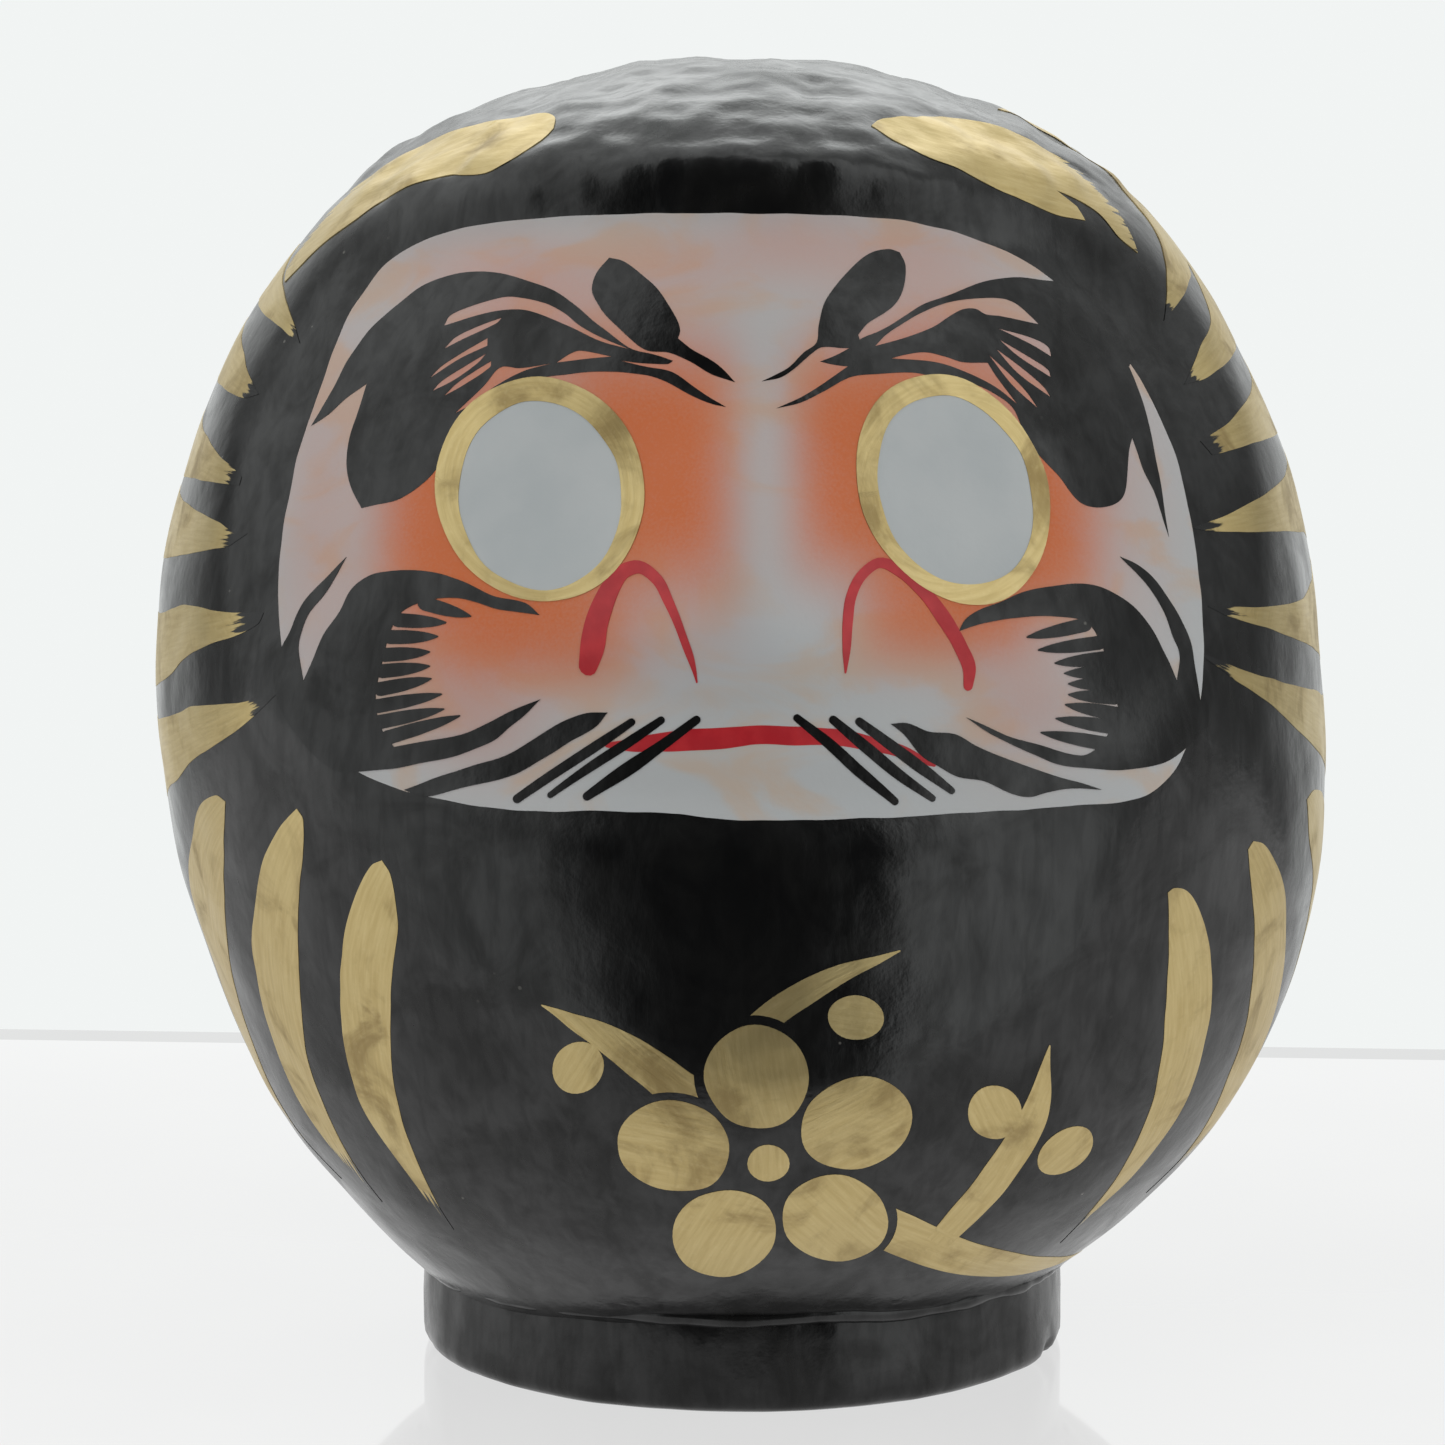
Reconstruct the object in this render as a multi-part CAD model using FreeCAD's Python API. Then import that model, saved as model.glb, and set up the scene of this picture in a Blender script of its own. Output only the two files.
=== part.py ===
import FreeCAD, Part
import math
import os

# A papier-mache daruma doll: a round hollow paper body on a low foot, with a painted face.
#
# The body is two pressed paper half shells, front and back, glued edge to edge with a paper tape inside.
# A clay ballast lies in the bottom and keeps the doll upright. The foot is a ring under the body.
# The paint is thin closed coats in two layers: the ground coats lie on the shell, and the lines on the face.
#
# Frame: millimetres, +Z up. The doll faces -Y, and "left" means -X, as seen from in front of it.
# The origin is the centre of the underside, on the surface that the doll stands on.

V = FreeCAD.Vector

# ---------------------------------------------------------------- driving sizes

# Body. The meridian runs from the edge of the flat underside up to the crown, as (radius, height).
CROWN_Z = 172.0
UNDERSIDE_R, UNDERSIDE_Z = 33.0, 3.6
MERIDIAN = [
    (UNDERSIDE_R, UNDERSIDE_Z),
    (46.0, 13.5),
    (62.0, 30.5),
    (74.6, 60.0),
    (77.7, 87.0),
    (75.4, 109.0),
    (67.0, 133.0),
    (51.6, 154.6),
    (36.1, 164.9),
    (18.4, 170.5),
    (0.0, CROWN_Z),
]
DEPTH_SHARE = 0.97  # the body is a little shallower, front to back, than it is wide
WALL = 2.4
FILLING_HOLE_R = 14.0

# Face. It is a shallow recess under the rim of the hood, with a broad nose.
RIM_HALF_WIDTH, RIM_HALF_HEIGHT, RIM_MID_Z = 69.0, 42.0, 119.5
RIM_POWER = 2.6  # 2 would make the rim an ellipse, and more makes it squarer
RIM_SLOPE = 0.21  # the share of the rim's size that the slope into the recess takes
CHIN_Z, CHIN_DEPTH = 84.0, 4.0
BROW_Z, BROW_DEPTH = 150.0, 8.0
NOSE_TOP_Z, NOSE_TIP_Z, NOSE_BASE_Z = 138.0, 105.0, 98.5
NOSE_HEIGHT, NOSE_TOP_WIDTH, NOSE_BASE_WIDTH = 6.0, 9.0, 21.0
EYE_X, EYE_Z = 25.5, 120.9

# Foot, ballast and papers.
FOOT_R, FOOT_BORE_R, FOOT_TOP_Z, FOOT_EDGE_R = 43.2, 34.0, 11.4, 2.8
BEAD_R, BEAD_MID_R, BEAD_MID_Z = 1.5, 43.7, 12.95
GLUE = 0.06  # thickness of a glue line
PAPER = 0.5
TAPE_WIDTH = 14.0
BALLAST_TOP_Z = 19.0

# Paint: how far the under side and the upper side of each layer stand off the shell.
GROUND_LAYER = (0.05, 0.27)
LINE_LAYER = (0.32, 0.54)
STROKE_LAYER = (0.12, 0.34)  # strokes laid round the body

# Spacing of the surfaces' poles.
AZIMUTH_STEP = 2.0
MERIDIAN_STEP = 0.01
STROKE_STEP = 2.6
DEGREE = 3

# ---------------------------------------------------------------- the body's outside


def smooth(share):
    share = min(max(share, 0.0), 1.0)
    return share * share * (3 - 2 * share)


def bump(distance, size):
    return math.exp(-((distance / size) ** 2))


def between(low, high, share):
    return low + (high - low) * share


def meridian_curve():
    curve = Part.BSplineCurve()
    points = [V(r, 0, z) for r, z in MERIDIAN]
    curve.interpolate(Points=points, InitialTangent=V(1, 0, 0.62), FinalTangent=V(-1, 0, 0))
    return curve


CURVE = meridian_curve()
CURVE_LENGTH = CURVE.length()


def meridian(share, lift=0.0):
    """(radius, height) at a share of the meridian's length, moved outwards by the lift."""
    if share >= 1:
        return 0.0, CROWN_Z + lift
    at = CURVE.parameterAtDistance(max(share, 0.0) * CURVE_LENGTH, CURVE.FirstParameter)
    point, tangent = CURVE.value(at), CURVE.tangent(at)[0]
    return point.x + tangent.z * lift, point.z - tangent.x * lift


def share_at_height(z):
    low, high = 0.0, 1.0
    for _ in range(30):
        middle = (low + high) / 2
        if meridian(middle)[1] < z:
            low = middle
        else:
            high = middle
    return low


def relief(x, z):
    """How far the pressed face lies behind the round body, in +Y."""
    across = abs(x) / RIM_HALF_WIDTH
    along = abs(z - RIM_MID_Z) / RIM_HALF_HEIGHT
    out = (across**RIM_POWER + along**RIM_POWER) ** (1 / RIM_POWER)
    inside = smooth((1 - out) / RIM_SLOPE)
    if inside == 0:
        return 0.0
    up = (z - CHIN_Z) / (BROW_Z - CHIN_Z)
    depth = between(CHIN_DEPTH, BROW_DEPTH, min(max(up, 0.0), 1.0))
    down = (NOSE_TOP_Z - z) / (NOSE_TOP_Z - NOSE_BASE_Z)
    nose_width = max(between(NOSE_TOP_WIDTH, NOSE_BASE_WIDTH, down), NOSE_TOP_WIDTH)
    nose_rise = smooth((NOSE_TOP_Z - z) / (NOSE_TOP_Z - NOSE_TIP_Z))
    nose_ledge = smooth((z - NOSE_BASE_Z) / (NOSE_TIP_Z - NOSE_BASE_Z))
    nose = NOSE_HEIGHT * nose_rise * nose_ledge * bump(x, 0.7 * nose_width)
    cheek = 1.8 * bump(math.hypot(abs(x) - 42.0, z - 97.0), 13.0)
    socket = 1.6 * bump(math.hypot(abs(x) - EYE_X, z - EYE_Z), 13.0)
    lips = 1.2 * bump(x, 22.0) * bump(z - 91.5, 4.0)
    return inside * (depth + socket - nose - cheek - lips)


def surface_point(azimuth, share, lift=0.0):
    """A point of the outside. The azimuth is in degrees from the front, towards +X."""
    turn = math.radians(azimuth)
    r, z = meridian(share, lift)
    sunk = 0.0
    if abs(azimuth) < 90:
        plain_r, plain_z = meridian(share)
        sunk = relief(plain_r * math.sin(turn), plain_z)
    return V(r * math.sin(turn), sunk - r * math.cos(turn) * DEPTH_SHARE, z)


# ---------------------------------------------------------------- surfaces and solids


def knots_of(count):
    spans = count - DEGREE
    return list(range(spans + 1)), [DEGREE + 1] + [1] * (spans - 1) + [DEGREE + 1]


def poles_between(start, end, step):
    """Values for the poles of a clamped cubic curve that runs evenly from start to end."""
    spans = max(2, round(abs(end - start) / step))
    knots = [0] * DEGREE + list(range(spans + 1)) + [spans] * DEGREE
    shares = [sum(knots[i + 1 : i + 1 + DEGREE]) / (DEGREE * spans) for i in range(spans + DEGREE)]
    return [between(start, end, share) for share in shares]


def face_over(poles):
    u_knots, u_mults = knots_of(len(poles))
    v_knots, v_mults = knots_of(len(poles[0]))
    surface = Part.BSplineSurface()
    surface.buildFromPolesMultsKnots(poles, u_mults, v_mults, u_knots, v_knots, False, False, DEGREE, DEGREE)
    return surface.toShape()


def body_patch(start, end, low, high, lift):
    """Part of the body's outside, between two azimuths and two shares of the meridian."""
    azimuths = poles_between(start, end, AZIMUTH_STEP)
    shares = poles_between(low, high, MERIDIAN_STEP)
    return face_over([[surface_point(a, s, lift) for s in shares] for a in azimuths])


def widened(low, high, step):
    """The range, widened to whole steps with three more at each end, so that patches agree exactly."""
    return (math.floor(low / step) - 3) * step, (math.ceil(high / step) + 3) * step


def closed_solid(faces):
    shell = Part.makeShell(faces)
    shell.sewShape()
    solid = Part.makeSolid(shell)
    if solid.Volume < 0:
        solid.reverse()
    return solid


def half_lump(start, lift):
    """The front half (start -90) or the back half (start 90) of the body, solid, moved by the lift."""
    skin = body_patch(start, start + 180, 0, 1, lift)
    edges = [edge for edge in skin.Edges if not edge.Degenerated]
    low_z = min(vertex.Z for vertex in skin.Vertexes)
    low = [edge for edge in edges if all(abs(vertex.Z - low_z) < 1e-6 for vertex in edge.Vertexes)][0]
    sides = [edge for edge in edges if not edge.isSame(low)]
    across = Part.makeLine(low.Vertexes[0].Point, low.Vertexes[-1].Point)
    underside = Part.Face(Part.Wire([low, across]))
    seam = Part.Face(Part.Wire(Part.sortEdges(sides + [across])[0]))
    return closed_solid([skin, underside, seam])


def between_faces(upper, under):
    """The solid between two faces that have matching edges."""
    rims = [Part.makeRuledSurface(a, b) for a, b in zip(upper.Edges, under.Edges)]
    return closed_solid([upper, under] + rims)


def turned(edges):
    """A body of revolution about the Z axis, from the edges of its profile in the XZ plane."""
    face = Part.Face(Part.Wire(Part.sortEdges(edges)[0]))
    return face.revolve(V(0, 0, 0), V(0, 0, 1), 360)


def spline(points, closed=False):
    """A smooth curve through (x, z) points in the XZ plane."""
    curve = Part.BSplineCurve()
    curve.interpolate([V(x, 0, z) for x, z in points], closed)
    return curve.toShape()


def lines(points):
    """Straight edges from each (x, z) point to the next."""
    return [Part.makeLine(V(x0, 0, z0), V(x1, 0, z1)) for (x0, z0), (x1, z1) in zip(points, points[1:])]


def inner_meridian(lift, low_z, high_z, count=24):
    """Points up the meridian at a lift, between two heights."""
    low, high = share_at_height(low_z), share_at_height(high_z)
    return [meridian(between(low, high, i / count), lift) for i in range(count + 1)]


def squashed(solid):
    """The same solid, made shallower front to back as the body is."""
    matrix = FreeCAD.Matrix()
    matrix.scale(1, DEPTH_SHARE, 1)
    return solid.transformGeometry(matrix)


# ---------------------------------------------------------------- structural pieces


def make_shell(start):
    hole = Part.makeCylinder(FILLING_HOLE_R, WALL * 3, V(0, 0, UNDERSIDE_Z - WALL))
    return half_lump(start, 0).cut(half_lump(start, -WALL)).cut(hole)


def make_joint_tape():
    """A paper strip along the inside of the joint, from just above the ballast over the crown."""
    top = -WALL - GLUE - 0.1
    outside = inner_meridian(top, BALLAST_TOP_Z + 4, CROWN_Z)
    inside = inner_meridian(top - PAPER, BALLAST_TOP_Z + 4, CROWN_Z)
    ends = lines([outside[0], inside[0]]) + lines([outside[-1], inside[-1]])
    ring = squashed(turned([spline(outside), spline(inside)] + ends))
    band = Part.makeBox(200, TAPE_WIDTH, 200, V(-100, -TAPE_WIDTH / 2, 0))
    return ring.common(band)


def make_ballast():
    floor = meridian(0, -WALL)[1] + GLUE
    bowl = inner_meridian(-WALL - GLUE - 0.1, UNDERSIDE_Z + 0.5, BALLAST_TOP_Z)
    flat = lines([bowl[0], (bowl[0][0] - 1.2, floor), (0, floor), (0, BALLAST_TOP_Z + 2.5), bowl[-1]])
    return squashed(turned([spline(bowl)] + flat))


def make_filling_plug():
    """The clay plug that closes the filling hole, flush with the underside."""
    top = meridian(0, -WALL)[1]
    return Part.makeCylinder(FILLING_HOLE_R - GLUE, top - UNDERSIDE_Z, V(0, 0, UNDERSIDE_Z))


def outside_of_body(solid, lift):
    return solid.cut(half_lump(-90, lift)).cut(half_lump(90, lift))


def make_foot():
    corners = [(FOOT_BORE_R, 0), (FOOT_R, 0), (FOOT_R - 0.5, FOOT_TOP_Z), (FOOT_BORE_R, FOOT_TOP_Z)]
    blank = turned(lines(corners + corners[:1]))
    lower_edge = [e for e in blank.Edges if abs(e.BoundBox.ZMax) < 1e-6 and e.BoundBox.XMax > FOOT_R - 1]
    return outside_of_body(blank.makeFillet(FOOT_EDGE_R, lower_edge), GLUE)


def make_bead():
    ring = Part.makeTorus(BEAD_MID_R, BEAD_R).translated(V(0, 0, BEAD_MID_Z))
    return outside_of_body(ring, GLUE)


def make_underside_paper():
    return Part.makeCylinder(UNDERSIDE_R - 0.5, PAPER, V(0, 0, UNDERSIDE_Z - GLUE - PAPER))


# ---------------------------------------------------------------- paint


def carried(edges):
    """The solid that a flat closed outline sweeps along Y, through the whole front of the doll."""
    face = Part.Face(Part.Wire(Part.sortEdges(edges)[0]))
    return face.translated(V(0, -130, 0)).extrude(V(0, 125, 0))


def blob(points):
    """A smooth closed outline through (x, z) points."""
    return carried([spline(points, closed=True)])


def oval(x, z, half_width, half_height, tilt=0.0):
    """An ellipse, tilted clockwise as seen from the front, in degrees."""
    turn = math.radians(-tilt)
    across = V(math.cos(turn), 0, math.sin(turn))
    upwards = V(-math.sin(turn), 0, math.cos(turn))
    centre = V(x, 0, z)
    if half_width > half_height:
        ellipse = Part.Ellipse(centre + across * half_width, centre + upwards * half_height, centre)
    elif half_height > half_width:
        ellipse = Part.Ellipse(centre + upwards * half_height, centre + across * half_width, centre)
    else:
        ellipse = Part.Circle(centre, V(0, 1, 0), half_width)
    return carried([ellipse.toShape()])


def brush(points):
    """A brush stroke's outline, from (x, z, half width). A half width of zero makes a pointed end."""
    sides = {1: [], -1: []}
    for i, (x, z, half) in enumerate(points):
        before, after = points[max(i - 1, 0)], points[min(i + 1, len(points) - 1)]
        dx, dz = after[0] - before[0], after[1] - before[1]
        long = math.hypot(dx, dz)
        for side in sides:
            sides[side].append((x - side * half * dz / long, z + side * half * dx / long))
    edges = [spline(sides[1]), spline(sides[-1])]
    for end, beyond in ((0, 1), (-1, -2)):
        x, z, half = points[end]
        if half > 0:
            dx, dz = x - points[beyond][0], z - points[beyond][1]
            long = math.hypot(dx, dz)
            tip = V(x + half * dx / long, 0, z + half * dz / long)
            left, right = (V(a, 0, b) for a, b in (sides[1][end], sides[-1][end]))
            edges.append(Part.Arc(left, tip, right).toShape())
    return carried(edges)


def joined(solids):
    return solids[0].multiFuse(solids[1:]) if len(solids) > 1 else solids[0]


def azimuth_at(x, z):
    return math.degrees(math.asin(max(min(x / meridian(share_at_height(z))[0], 0.98), -0.98)))


def coat(outline, layer):
    """Paint on the front of the doll, where a carried outline meets the layer."""
    box = outline.BoundBox
    heights = [box.ZMin, (box.ZMin + box.ZMax) / 2, box.ZMax]
    west = min(azimuth_at(box.XMin, z) for z in heights)
    east = max(azimuth_at(box.XMax, z) for z in heights)
    start, end = widened(west, east, AZIMUTH_STEP)
    low, high = widened(share_at_height(box.ZMin), share_at_height(box.ZMax), MERIDIAN_STEP)
    under, upper = (body_patch(start, end, low, high, lift) for lift in layer)
    return between_faces(upper, under).common(outline)


def ribbon(points, layer=STROKE_LAYER):
    """A brush stroke laid round the body, from (azimuth, z, half width) along its middle."""
    path = Part.BSplineCurve()
    path.interpolate([V(*point) for point in points])
    rows = poles_between(0, 1, STROKE_STEP / stroke_length(points))
    middle = [path.value(between(path.FirstParameter, path.LastParameter, row)) for row in rows]
    faces = []
    for lift in (layer[1], layer[0]):
        poles = []
        for i, here in enumerate(middle):
            r = meridian(share_at_height(here.y))[0]
            ahead, behind = middle[min(i + 1, len(middle) - 1)], middle[max(i - 1, 0)]
            across = V(-(ahead.y - behind.y), math.radians(ahead.x - behind.x) * r, 0).normalize()
            half = max(here.z, 0.15)
            row = []
            for side in poles_between(-1, 1, STROKE_STEP / half):
                azimuth = here.x + math.degrees(side * half * across.x / r)
                row.append((azimuth, share_at_height(here.y + side * half * across.y)))
            poles.append(row)
        count = max(len(row) for row in poles)
        poles = [refilled(row, count) for row in poles]
        faces.append(face_over([[surface_point(a, s, lift) for a, s in row] for row in poles]))
    return between_faces(*faces)


def refilled(row, count):
    """The same row from end to end, with the given number of poles."""
    shares = poles_between(0, 1, 1 / (count - DEGREE))
    (a0, s0), (a1, s1) = row[0], row[-1]
    return [(between(a0, a1, share), between(s0, s1, share)) for share in shares]


def stroke_length(points):
    total = 0.0
    for (a0, z0, _), (a1, z1, _) in zip(points, points[1:]):
        total += math.hypot(math.radians(a1 - a0) * 70, z1 - z0)
    return total


# The white face ground, from its left corner up over the forehead and back along the chin.
GROUND = blob(
    [
        (-57.0, 97.0),
        (-58.5, 107.0),
        (-55.2, 127.5),
        (-48.5, 143.0),
        (-39.0, 153.0),
        (-12.0, 154.2),
        (16.0, 154.1),
        (36.0, 148.0),
        (51.5, 130.0),
        (57.4, 104.0),
        (54.2, 87.0),
        (40.0, 82.9),
        (0.0, 82.5),
        (-39.0, 84.0),
        (-51.5, 88.5),
    ]
)

EYES = {
    "left": (oval(-25.2, 120.7, 10.3, 11.2), oval(-25.2, 121.2, 13.1, 13.3)),
    "right": (oval(25.9, 121.0, 9.2, 11.8, tilt=-28), oval(25.7, 121.3, 11.1, 14.6, tilt=-31)),
}

BROW = [
    brush([(-54.6, 127.1, 0), (-49.0, 132.0, 3.0), (-41.0, 138.5, 4.8), (-33.0, 143.8, 3.0), (-24.0, 143.4, 2.2)]
          + [(-17.0, 139.4, 1.0), (-9.0, 136.4, 0)]),
    blob([(-51.5, 130.5), (-46.0, 117.8), (-38.5, 124.0), (-34.0, 133.0), (-40.0, 141.0)]),
    brush([(-36.5, 129.5, 0), (-31.0, 133.4, 0.7), (-22.0, 135.6, 0.9), (-10.0, 135.8, 0.7), (-2.4, 131.5, 0)]),
    blob([(-30.5, 139.5), (-25.0, 142.2), (-19.0, 138.8), (-25.5, 136.6)]),
    blob([(-18.7, 148.5), (-14.2, 149.6), (-9.0, 145.2), (-8.2, 139.5), (-14.0, 142.0)]),
    brush([(-11.0, 141.5, 1.6), (-6.0, 138.2, 1.0), (-1.5, 134.7, 0)]),
]

MOUSTACHE = [
    brush([(-25.1, 107.1, 0), (-31.0, 109.8, 1.0), (-38.0, 110.4, 1.8), (-45.5, 107.0, 3.4), (-51.5, 98.0, 4.8)]
          + [(-49.0, 91.0, 2.8), (-41.0, 90.0, 2.4), (-32.0, 92.2, 1.2), (-24.8, 95.8, 0)]),
    brush([(-17.0, 94.6, 1.2), (-23.0, 91.6, 1.5), (-30.0, 88.2, 1.2), (-39.4, 84.6, 0)]),
    brush([(-13.4, 94.3, 0.5), (-20.0, 90.2, 0.5), (-28.0, 84.6, 0.3)]),
    brush([(-9.8, 94.6, 0.5), (-16.0, 90.6, 0.5), (-23.4, 84.9, 0.3)]),
    brush([(-5.6, 94.4, 0.5), (-12.0, 90.6, 0.5), (-19.4, 85.0, 0.3)]),
    brush([(-49.9, 111.5, 0), (-53.6, 105.0, 0.5), (-55.6, 98.9, 0)]),
]

NOSE_LINES = {
    "left": brush([(-18.6, 100.6, 1.1), (-17.3, 107.0, 1.2), (-13.8, 112.9, 0.8), (-9.6, 109.0, 0.6), (-6.1, 99.3, 0.2)]),
    "right": brush([(12.2, 100.7, 0.2), (12.9, 108.9, 0.6), (16.6, 112.8, 0.8), (22.7, 108.2, 0.9), (27.3, 98.1, 1.2)]),
}

MOUTH = brush([(-16.7, 91.3, 0.4), (-5.5, 92.6, 1.2), (4.0, 92.9, 1.6), (14.0, 92.0, 1.1), (23.2, 88.5, 0.3)])

# Gold strokes on the hood: one broad stroke by the crown, then short wedges that point at the face.
HOOD_LEFT = [
    [(-34, 163.2, 0.6), (-41, 162.9, 3.2), (-60, 160.0, 3.6), (-71, 154.4, 2.8), (-77, 148.5, 1.8), (-78, 143.4, 0.2)],
    [(-88, 143.0, 4.2), (-80, 140.6, 3.0), (-74, 139.0, 1.8), (-66, 136.9, 0.2)],
    [(-90, 134.0, 4.4), (-80, 132.8, 3.2), (-74, 131.5, 2.2), (-67, 129.6, 0.2)],
    [(-90, 122.6, 4.4), (-79, 122.0, 3.4), (-70, 120.6, 2.2), (-62, 119.0, 0.2)],
    [(-92, 111.5, 4.2), (-82, 111.9, 3.2), (-70, 112.5, 2.0), (-59, 113.3, 0.2)],
    [(-92, 98.6, 4.4), (-80, 99.3, 3.8), (-66, 101.0, 3.0), (-54, 103.4, 0.2)],
    [(-90, 82.0, 4.4), (-76, 85.2, 4.2), (-61, 89.7, 3.2), (-49, 94.6, 0.2)],
]
HOOD_RIGHT = [
    [(27, 165.0, 0.6), (33, 164.6, 2.8), (45, 161.6, 4.6), (57, 157.6, 4.2), (64, 152.6, 3.0), (68, 147.0, 0.2)],
    [(80, 158.0, 0.4), (78, 153.0, 2.0), (75, 147.0, 2.0), (66, 140.0, 0.2)],
    [(90, 143.0, 3.4), (80, 139.6, 3.0), (71, 136.2, 2.2), (62, 132.6, 0.2)],
    [(90, 131.5, 3.6), (78, 129.0, 3.2), (67, 126.4, 2.4), (58, 123.8, 0.2)],
    [(90, 119.0, 4.2), (77, 117.2, 3.6), (64, 115.8, 2.4), (54, 114.6, 0.2)],
    [(92, 101.0, 4.4), (80, 101.9, 3.8), (65, 102.8, 2.8), (52, 104.8, 0.2)],
    [(91, 82.0, 4.2), (76, 87.4, 4.0), (61, 93.2, 2.8), (50, 99.2, 0.2)],
]

# Gold strokes down each side of the belly, which run to a point near the foot.
BELLY_LEFT = [
    [(-61, 79.6, 0.6), (-64, 74.0, 3.4), (-67, 62.0, 4.4), (-68, 50.0, 3.8), (-67, 40.0, 2.4), (-64, 30.0, 0.2)],
    [(-46, 80.0, 0.6), (-48, 75.0, 3.6), (-51, 64.0, 4.6), (-54, 52.0, 4.0), (-55, 40.0, 2.6), (-54, 27.0, 0.2)],
    [(-35, 75.8, 0.6), (-37, 70.0, 3.4), (-39, 60.0, 4.3), (-41, 49.0, 3.8), (-42, 38.0, 2.4), (-42, 25.5, 0.2)],
]
BELLY_RIGHT = [
    [(45, 71.0, 0.6), (47, 66.0, 3.0), (50, 56.0, 3.7), (51, 45.0, 3.2), (51, 34.0, 2.0), (52, 22.5, 0.2)],
    [(58, 74.6, 0.6), (61, 69.0, 2.8), (65, 58.0, 3.8), (67, 48.0, 3.2), (67, 39.0, 2.0), (65, 29.0, 0.2)],
    [(73, 78.0, 0.6), (76, 72.0, 3.0), (79, 60.0, 4.0), (81, 48.0, 3.2), (81, 39.0, 2.0), (79, 30.0, 0.2)],
]

# The gold motif on the belly is a plum blossom on a branch with buds.
BLOSSOM_X, BLOSSOM_Z = 3.0, 38.0
PETALS, PETAL_DISTANCE, PETAL_R = 5, 12.0, 6.4
FIRST_PETAL_TURN = -8.0
PETAL_GAP = 1.2  # bare lacquer between a petal and the branch behind it
HEART_R, HEART_CLEARING = 2.6, 9.0
BRANCH = [
    brush([(45.0, 15.0, 0), (37.0, 17.5, 1.8), (27.0, 22.0, 2.9), (16.0, 29.0, 3.1), (4.0, 38.0, 3.0)]
          + [(-8.0, 48.0, 2.7), (-16.0, 54.0, 2.1), (-25.0, 58.5, 0)]),
    brush([(24.0, 24.0, 1.6), (31.0, 33.0, 2.2), (36.0, 42.0, 1.9), (38.0, 52.0, 0)]),
    brush([(-6.0, 47.0, 1.5), (2.0, 57.0, 1.7), (10.0, 62.5, 1.4), (19.0, 66.0, 0)]),
]
BUDS = [
    oval(31.2, 43.5, 3.3, 4.0, tilt=-25),
    oval(40.6, 36.6, 3.2, 3.9, tilt=50),
    oval(-20.6, 50.4, 3.1, 3.7, tilt=-150),
    oval(13.6, 57.6, 2.9, 3.5, tilt=100),
]


def petal(turn, spare=0.0):
    """One petal, pointing at a turn in degrees from straight up, made larger all round by a spare width."""
    x = BLOSSOM_X + PETAL_DISTANCE * math.sin(math.radians(turn))
    z = BLOSSOM_Z + PETAL_DISTANCE * math.cos(math.radians(turn))
    return oval(x, z, PETAL_R + spare, PETAL_R * 1.1 + spare, tilt=turn)


def make_motif():
    branch = joined(BRANCH + BUDS).cut(oval(BLOSSOM_X, BLOSSOM_Z, HEART_CLEARING, HEART_CLEARING))
    turns = [FIRST_PETAL_TURN + 360 / PETALS * i for i in range(PETALS)]
    for turn in turns:
        branch = branch.cut(petal(turn, PETAL_GAP))
    heart = oval(BLOSSOM_X, BLOSSOM_Z, HEART_R, HEART_R)
    return Part.makeCompound([branch, heart] + [petal(turn) for turn in turns])


def on_side(solid, side):
    return solid if side == "left" else solid.mirror(V(0, 0, 0), V(1, 0, 0))


def make_coats():
    coats = {}
    coats["face_ground"] = coat(GROUND, GROUND_LAYER)
    coats["mouth_line"] = coat(MOUTH, LINE_LAYER)
    for side, (white, ring) in EYES.items():
        nose = NOSE_LINES[side]
        brow = on_side(joined(BROW), side).common(GROUND).cut(ring)
        moustache = on_side(joined(MOUSTACHE), side).common(GROUND).cut(ring).cut(nose).cut(MOUTH)
        coats["eye_white_" + side] = coat(white, LINE_LAYER)
        coats["eye_ring_" + side] = coat(ring.cut(white), LINE_LAYER)
        coats["nose_line_" + side] = coat(nose.cut(ring), LINE_LAYER)
        coats["eyebrow_" + side] = coat(brow, LINE_LAYER)
        coats["moustache_" + side] = coat(moustache, LINE_LAYER)
    gold = {
        "hood_strokes_left": HOOD_LEFT,
        "hood_strokes_right": HOOD_RIGHT,
        "belly_strokes_left": BELLY_LEFT,
        "belly_strokes_right": BELLY_RIGHT,
    }
    for name, strokes in gold.items():
        coats[name] = Part.makeCompound([ribbon(points) for points in strokes])
    coats["belly_motif"] = coat(make_motif(), GROUND_LAYER)
    return coats


def main():
    pieces = {
        "shell_front": make_shell(-90),
        "shell_back": make_shell(90),
        "joint_tape": make_joint_tape(),
        "ballast": make_ballast(),
        "filling_plug": make_filling_plug(),
        "foot_ring": make_foot(),
        "foot_bead": make_bead(),
        "underside_paper": make_underside_paper(),
    }
    pieces.update(make_coats())
    os.makedirs("parts", exist_ok=True)
    for name, shape in pieces.items():
        shape.exportStep("parts/%s.step" % name)
        print(name, shape.isValid(), round(shape.Volume, 1), len(shape.Solids), len(shape.Faces))


main()
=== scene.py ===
import math

import bpy
import numpy as np
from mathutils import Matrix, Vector, noise
from mathutils.bvhtree import BVHTree
from mathutils.geometry import delaunay_2d_cdt


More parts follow.
